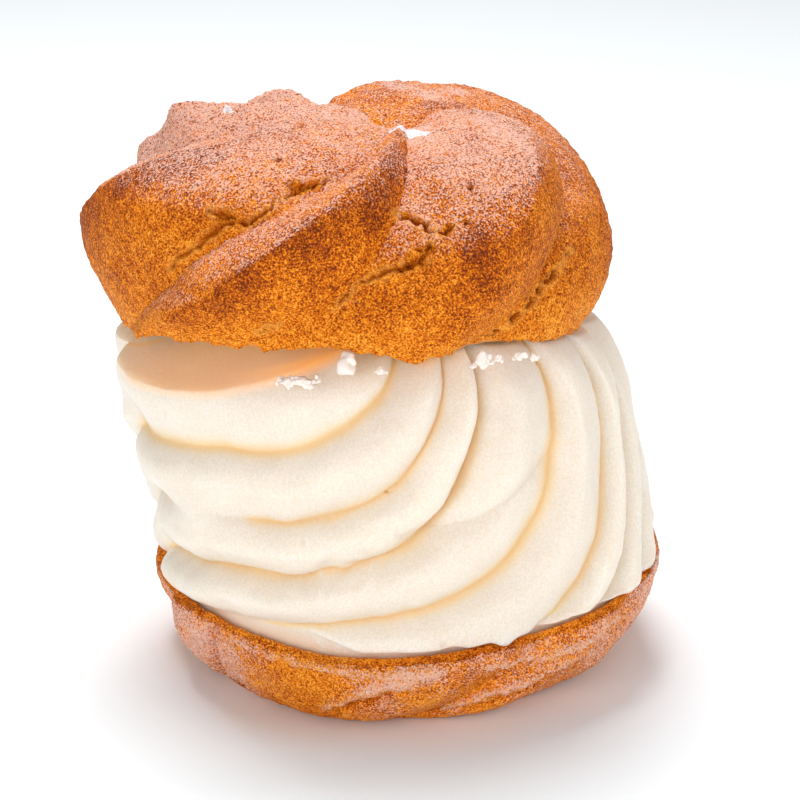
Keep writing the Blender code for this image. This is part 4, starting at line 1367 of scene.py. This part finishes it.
class StageSettings(bpy.types.PropertyGroup):
    """Floor, light and camera."""

    floor_size: length_setting("Floor", 4.0, "Width of the floor")
    floor: color_setting("Floor", (0.87, 0.905, 0.93), "The floor's colour")
    sky: color_setting("Sky", (1.0, 1.0, 1.0), "Colour of the light from all round")
    sky_strength: bpy.props.FloatProperty(
        name="Sky strength", description="Brightness of the light from all round",
        default=0.34, min=0.0)
    overhead_power: bpy.props.FloatProperty(
        name="Overhead box", description="Power of the soft box above, in watts",
        default=4.15, min=0.0, unit="POWER")
    front_power: bpy.props.FloatProperty(
        name="Front box", description="Power of the soft box in front, in watts",
        default=2.2, min=0.0, unit="POWER")
    side_power: bpy.props.FloatProperty(
        name="Side box", description="Power of the soft box on the right, in watts",
        default=1.4, min=0.0, unit="POWER")
    camera_distance: length_setting("Camera distance", 0.55, "From the camera to the puff")
    camera_elevation: bpy.props.FloatProperty(
        name="Camera elevation", description="Angle at which the camera looks down",
        default=math.radians(20.0), subtype="ANGLE", unit="ROTATION")


# --------------------------------------------------------------------- operators

SKINS = {}


class CREAMPUFF_OT_lid(bpy.types.Operator):
    """Make the lid's crust"""

    bl_idname = "cream_puff.lid"
    bl_label = "Lid"

    def execute(self, context):
        SKINS["lid"] = make_lid(context.scene.cream_puff_lid)
        return {"FINISHED"}


class CREAMPUFF_OT_cream(bpy.types.Operator):
    """Make the piped cream"""

    bl_idname = "cream_puff.cream"
    bl_label = "Cream"

    def execute(self, context):
        make_cream(context.scene.cream_puff_cream)
        return {"FINISHED"}


class CREAMPUFF_OT_base(bpy.types.Operator):
    """Make the lower shell"""

    bl_idname = "cream_puff.base"
    bl_label = "Lower shell"

    def execute(self, context):
        SKINS["base"] = make_base(context.scene.cream_puff_base)
        return {"FINISHED"}


class CREAMPUFF_OT_sugar(bpy.types.Operator):
    """Dust the lid and the lower shell with sugar"""

    bl_idname = "cream_puff.sugar"
    bl_label = "Sugar"

    def execute(self, context):
        if len(SKINS) < 2:
            raise RuntimeError("make the lid and the lower shell before the sugar")
        make_sugar(context.scene.cream_puff_sugar, SKINS["lid"], SKINS["base"])
        return {"FINISHED"}


class CREAMPUFF_OT_crumbs(bpy.types.Operator):
    """Lay crumbs along the top of the cream"""

    bl_idname = "cream_puff.crumbs"
    bl_label = "Crumbs"

    def execute(self, context):
        make_crumbs(context.scene.cream_puff_crumbs)
        return {"FINISHED"}


class CREAMPUFF_OT_stage(bpy.types.Operator):
    """Set the floor, the lights and the camera"""

    bl_idname = "cream_puff.stage"
    bl_label = "Stage"

    def execute(self, context):
        make_stage(context.scene.cream_puff_stage)
        return {"FINISHED"}


class CREAMPUFF_PT_panel(bpy.types.Panel):
    """The cream puff's operators"""

    bl_label = "Cream Puff"
    bl_space_type = "VIEW_3D"
    bl_region_type = "UI"
    bl_category = "Cream Puff"

    def draw(self, _context):
        for operator in OPERATORS:
            self.layout.operator(operator.bl_idname)


SETTINGS = {
    "cream_puff_lid": CrustSettings,
    "cream_puff_base": CrustSettings,
    "cream_puff_cream": CreamSettings,
    "cream_puff_sugar": SugarSettings,
    "cream_puff_crumbs": CrumbSettings,
    "cream_puff_stage": StageSettings,
}
OPERATORS = (CREAMPUFF_OT_base, CREAMPUFF_OT_cream, CREAMPUFF_OT_lid, CREAMPUFF_OT_sugar,
             CREAMPUFF_OT_crumbs, CREAMPUFF_OT_stage)
CLASSES = (*dict.fromkeys(SETTINGS.values()), *OPERATORS, CREAMPUFF_PT_panel)


def register():
    for kind in CLASSES:
        bpy.utils.register_class(kind)
    for name, kind in SETTINGS.items():
        setattr(bpy.types.Scene, name, bpy.props.PointerProperty(type=kind))


def unregister():
    for name in SETTINGS:
        delattr(bpy.types.Scene, name)
    for kind in reversed(CLASSES):
        bpy.utils.unregister_class(kind)


def main():
    register()
    for operator in OPERATORS:
        family, name = operator.bl_idname.split(".")
        getattr(getattr(bpy.ops, family), name)()


if __name__ == "__main__":
    main()
